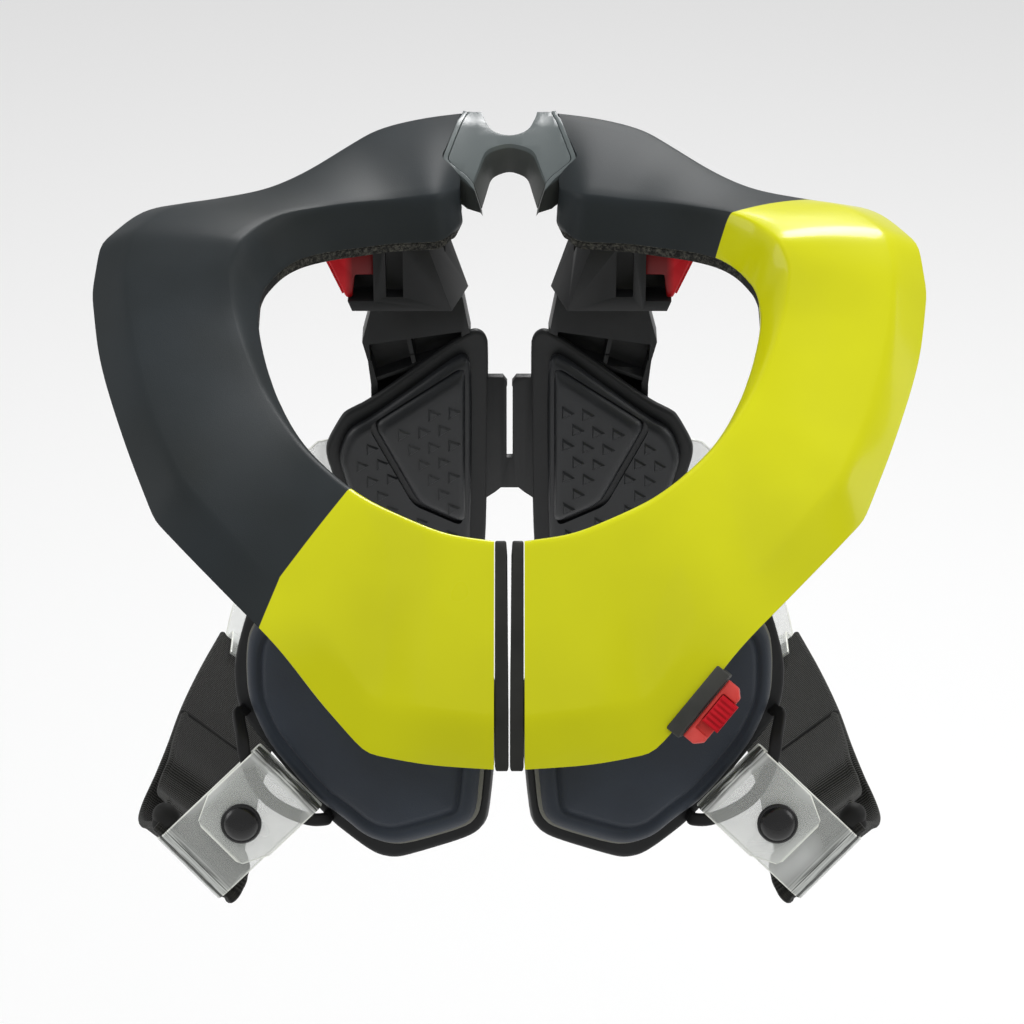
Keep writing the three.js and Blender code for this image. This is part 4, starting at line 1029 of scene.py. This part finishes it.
BACK_LEVELS = [(1.4, -3), (0.5, -2.9), (0.1, -2.5), (0, -2), (0, -0.9), (0.2, -0.4), (0.8, 0), (1.6, 0)]
TREAD_LEVELS = [(0.3, 0.3), (0, 0.7), (0, 2.4), (0.3, 3.3), (1.0, 4.3), (2.2, 4.9), (3.6, 5.0)]
MOAT_LEVELS = [(-0.5, 3.2), (-0.7, 6.5)]
CREST_LEVELS = [(0, 2.6), (0, 5.2), (0.4, 6.2), (1.2, 7.2), (2.2, 7.8), (3.6, 8.1)]
REAR_RUN_FROM, REAR_RUN_RATE = 45, 0.3
rubber_look = look("back_rubber", black_paint(colour(24, 26, 28), colour(32, 34, 37), 0.38),
                   Specular_IOR_Level=0.45)


def rear_tab_shape():
    """The rear strip, marked as a clear stretch of the front tab that lies between its fold and its roll"""
    end = strap_base(1)
    lift = STRAP_LIFT * (TAB_FOLD + ELASTIC_WALL / 2)
    behind = BACK_LEVELS[0][1] - GAP - TAB_WALL / 2
    seat, entry = (back(share * BACK_WIDTH, -BACK_TOP - 0.52 * BACK_LENGTH, behind) for share in (0.86, 1.06))
    places = [end + lift - (0, 9, 0), end + lift, end + 0.7 * lift + (0, 4, 0), end + (0, 6, 0),
              (end + entry) / 2 + (2, 0, -2), entry, seat]
    up = unit(back(0, 1, 0) - back(0, 0, 0))
    wide = [STRAP_WIDE + (up - STRAP_WIDE) * clamped((i - 3) / 2) for i in range(len(places))]
    path, section = eased(places, 8), slab_section(TAB_WIDTH, TAB_WALL, 10)
    marks = strap_marks(path, section, TAB_WIDTH)
    marks["run"] = REAR_RUN_FROM + marks["run"] * REAR_RUN_RATE
    return skin(band(path, eased(wide, 8), section)), marks


def crest_bend(outline):
    return filleted(outline, [4.0] * len(outline), 6)


def inside(outline, x, y):
    """Whether a place lies inside an outline"""
    found = False
    for (x0, y0), (x1, y1) in zip(outline, np.roll(outline, -1, axis=0)):
        if (y0 > y) != (y1 > y) and x < x0 + (x1 - x0) * (y - y0) / (y1 - y0):
            found = not found
    return found


# The tread: three-sided studs on a staggered grid, on the crest and on the field beside it
STUD_ACROSS, STUD_DOWN, STUD_RADIUS, STUD_HEIGHT = 7.7, 7.4, 3.3, 0.8
STUD_ON_CREST, STUD_ON_FIELD = 8.2, 4.9
CREST_MARGIN, FIELD_MARGIN, MOAT_MARGIN = 5.0, 6.0, 4.2
tread = bpy.data.node_groups.new("tread", "GeometryNodeTree")
tread_ids = {}
for name, kind in (("Geometry", "Geometry"), ("Stud Radius", "Float"), ("Stud Height", "Float"),
                   ("Stud Turn", "Vector"), ("Stud Material", "Material")):
    socket = tread.interface.new_socket(name, in_out="INPUT", socket_type=f"NodeSocket{kind}")
    tread_ids[name] = socket.identifier
tread.interface.new_socket("Geometry", in_out="OUTPUT", socket_type="NodeSocketGeometry")
entry = tread.nodes.new("NodeGroupInput")
given = {name: Value(tread, entry.outputs[name]) for name in tread_ids}
cone = given["Stud Radius"].node("GeometryNodeMeshCone", {"fill_type": "NGON"}, {
    "Vertices": 3, "Side Segments": 1, "Radius Top": given["Stud Radius"] * 0.62,
    "Radius Bottom": given["Stud Radius"], "Depth": given["Stud Height"]})
placed = cone.node("GeometryNodeInstanceOnPoints", (), {
    "Points": given["Geometry"], "Instance": cone, "Rotation": given["Stud Turn"]})
solid = placed.node("GeometryNodeRealizeInstances", (), {0: placed})
painted = solid.node("GeometryNodeSetMaterial", (), {"Geometry": solid, "Material": given["Stud Material"]})
leave = tread.nodes.new("NodeGroupOutput")
tread.links.new(painted.socket, leave.inputs["Geometry"])


def stud_field(name, side):
    """The studs of one pad"""
    crest_room, pad_room = inset(CREST_OUTLINE, CREST_MARGIN), inset(BACK_PAD_OUTLINE, FIELD_MARGIN)
    moat_edge = inset(CREST_OUTLINE, -MOAT_MARGIN)
    seeds = []
    for row, v in enumerate(np.arange(-BACK_TOP - 8, -BACK_TOP - BACK_LENGTH, -STUD_DOWN)):
        for u in np.arange(STUD_ACROSS / 2 * (1 + row % 2), BACK_WIDTH, STUD_ACROSS):
            if inside(crest_room, u, v):
                seeds.append(back(u, v, STUD_ON_CREST))
            elif inside(pad_room, u, v) and not inside(moat_edge, u, v):
                seeds.append(back(u, v, STUD_ON_FIELD))
    mesh = bpy.data.meshes.new(name)
    mesh.from_pydata((np.array(seeds) * MM * (side, 1, 1)).tolist(), [], [])
    made = new_object(name, mesh)
    mirror = np.array((side, 1, 1))
    out = unit(back(0, 0, 1) - back(0, 0, 0)) * mirror
    up = unit(back(0, 1, 0) - back(0, 0, 0)) * mirror
    turn = Matrix(np.stack([np.cross(up, out), up, out], axis=1).tolist()).to_euler()
    modifier = made.modifiers.new("tread", "NODES")
    modifier.node_group = tread
    for key, value in (("Stud Radius", STUD_RADIUS * MM), ("Stud Height", STUD_HEIGHT * MM),
                       ("Stud Turn", tuple(turn)), ("Stud Material", rubber_look)):
        modifier[tread_ids[key]] = value
    return settle(made, [], 20)


rear_form, rear_marks = rear_tab_shape()
for side, hand in SIDES:
    plate = make(f"back_shell_{hand}", pressed(back, BACK_OUTLINE, BACK_LEVELS), black_look, side)
    pad = make(f"back_tread_{hand}", pressed(back, BACK_PAD_OUTLINE, TREAD_LEVELS), rubber_look, side)
    carve(pad, pressed(back, MOAT_OUTLINE, MOAT_LEVELS, bend=crest_bend), side)
    crest = make(f"back_crest_{hand}", pressed(back, CREST_OUTLINE, CREST_LEVELS, 0.2, bend=crest_bend),
                 rubber_look, side)
    studs = stud_field(f"back_studs_{hand}", side)
    tab = make(f"rear_clear_tab_{hand}", rear_form, clear_look, side, rear_marks)
    for piece, node, slot in ((plate, "back_plate", "black_plastic"), (pad, "back_pad", "back_rubber"),
                              (crest, "back_pad", "back_rubber"), (studs, "back_pad", "back_rubber"),
                              (tab, "rear_tab", "clear_strip")):
        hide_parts(f"{node}_{hand}")
        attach(piece, f"{hand}_half")

# The web reaches a little further to each plate than its node, and its slot is open at the top in a mouth
WEB_EDGE, WEB_REACH = 6.0, 0.7
SLOT_HALF, SLOT_LENGTH, MOUTH_HALF, MOUTH_LENGTH = 0.9, 20, 3.2, 2.5
web = welded("back_web", "slotted_web", black_look)
sliced(web, (-5.5, -4, -2.5, 0, 2.5, 4, 5.5))
for vertex in web.data.vertices:
    if abs(vertex.co.x) > WEB_EDGE * MM:
        vertex.co.x += math.copysign(WEB_REACH * MM, vertex.co.x)
web_top = max(vertex.co.z for vertex in web.data.vertices) / MM
web_back = [vertex.co.y / MM for vertex in web.data.vertices]
slot_side = [(SLOT_HALF, web_top - SLOT_LENGTH), (SLOT_HALF, web_top - MOUTH_LENGTH),
             (MOUTH_HALF, web_top + 1)]
slot_outline = slot_side + [(-x, z) for x, z in slot_side[::-1]]
carve(web, front_block(slot_outline, min(web_back) - 2, max(web_back) + 2))
settle(web, [("BEVEL", {"width": 0.0006, "segments": 2, "limit_method": "ANGLE",
                        "angle_limit": math.radians(40)})])
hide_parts("back_web")
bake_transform(web)
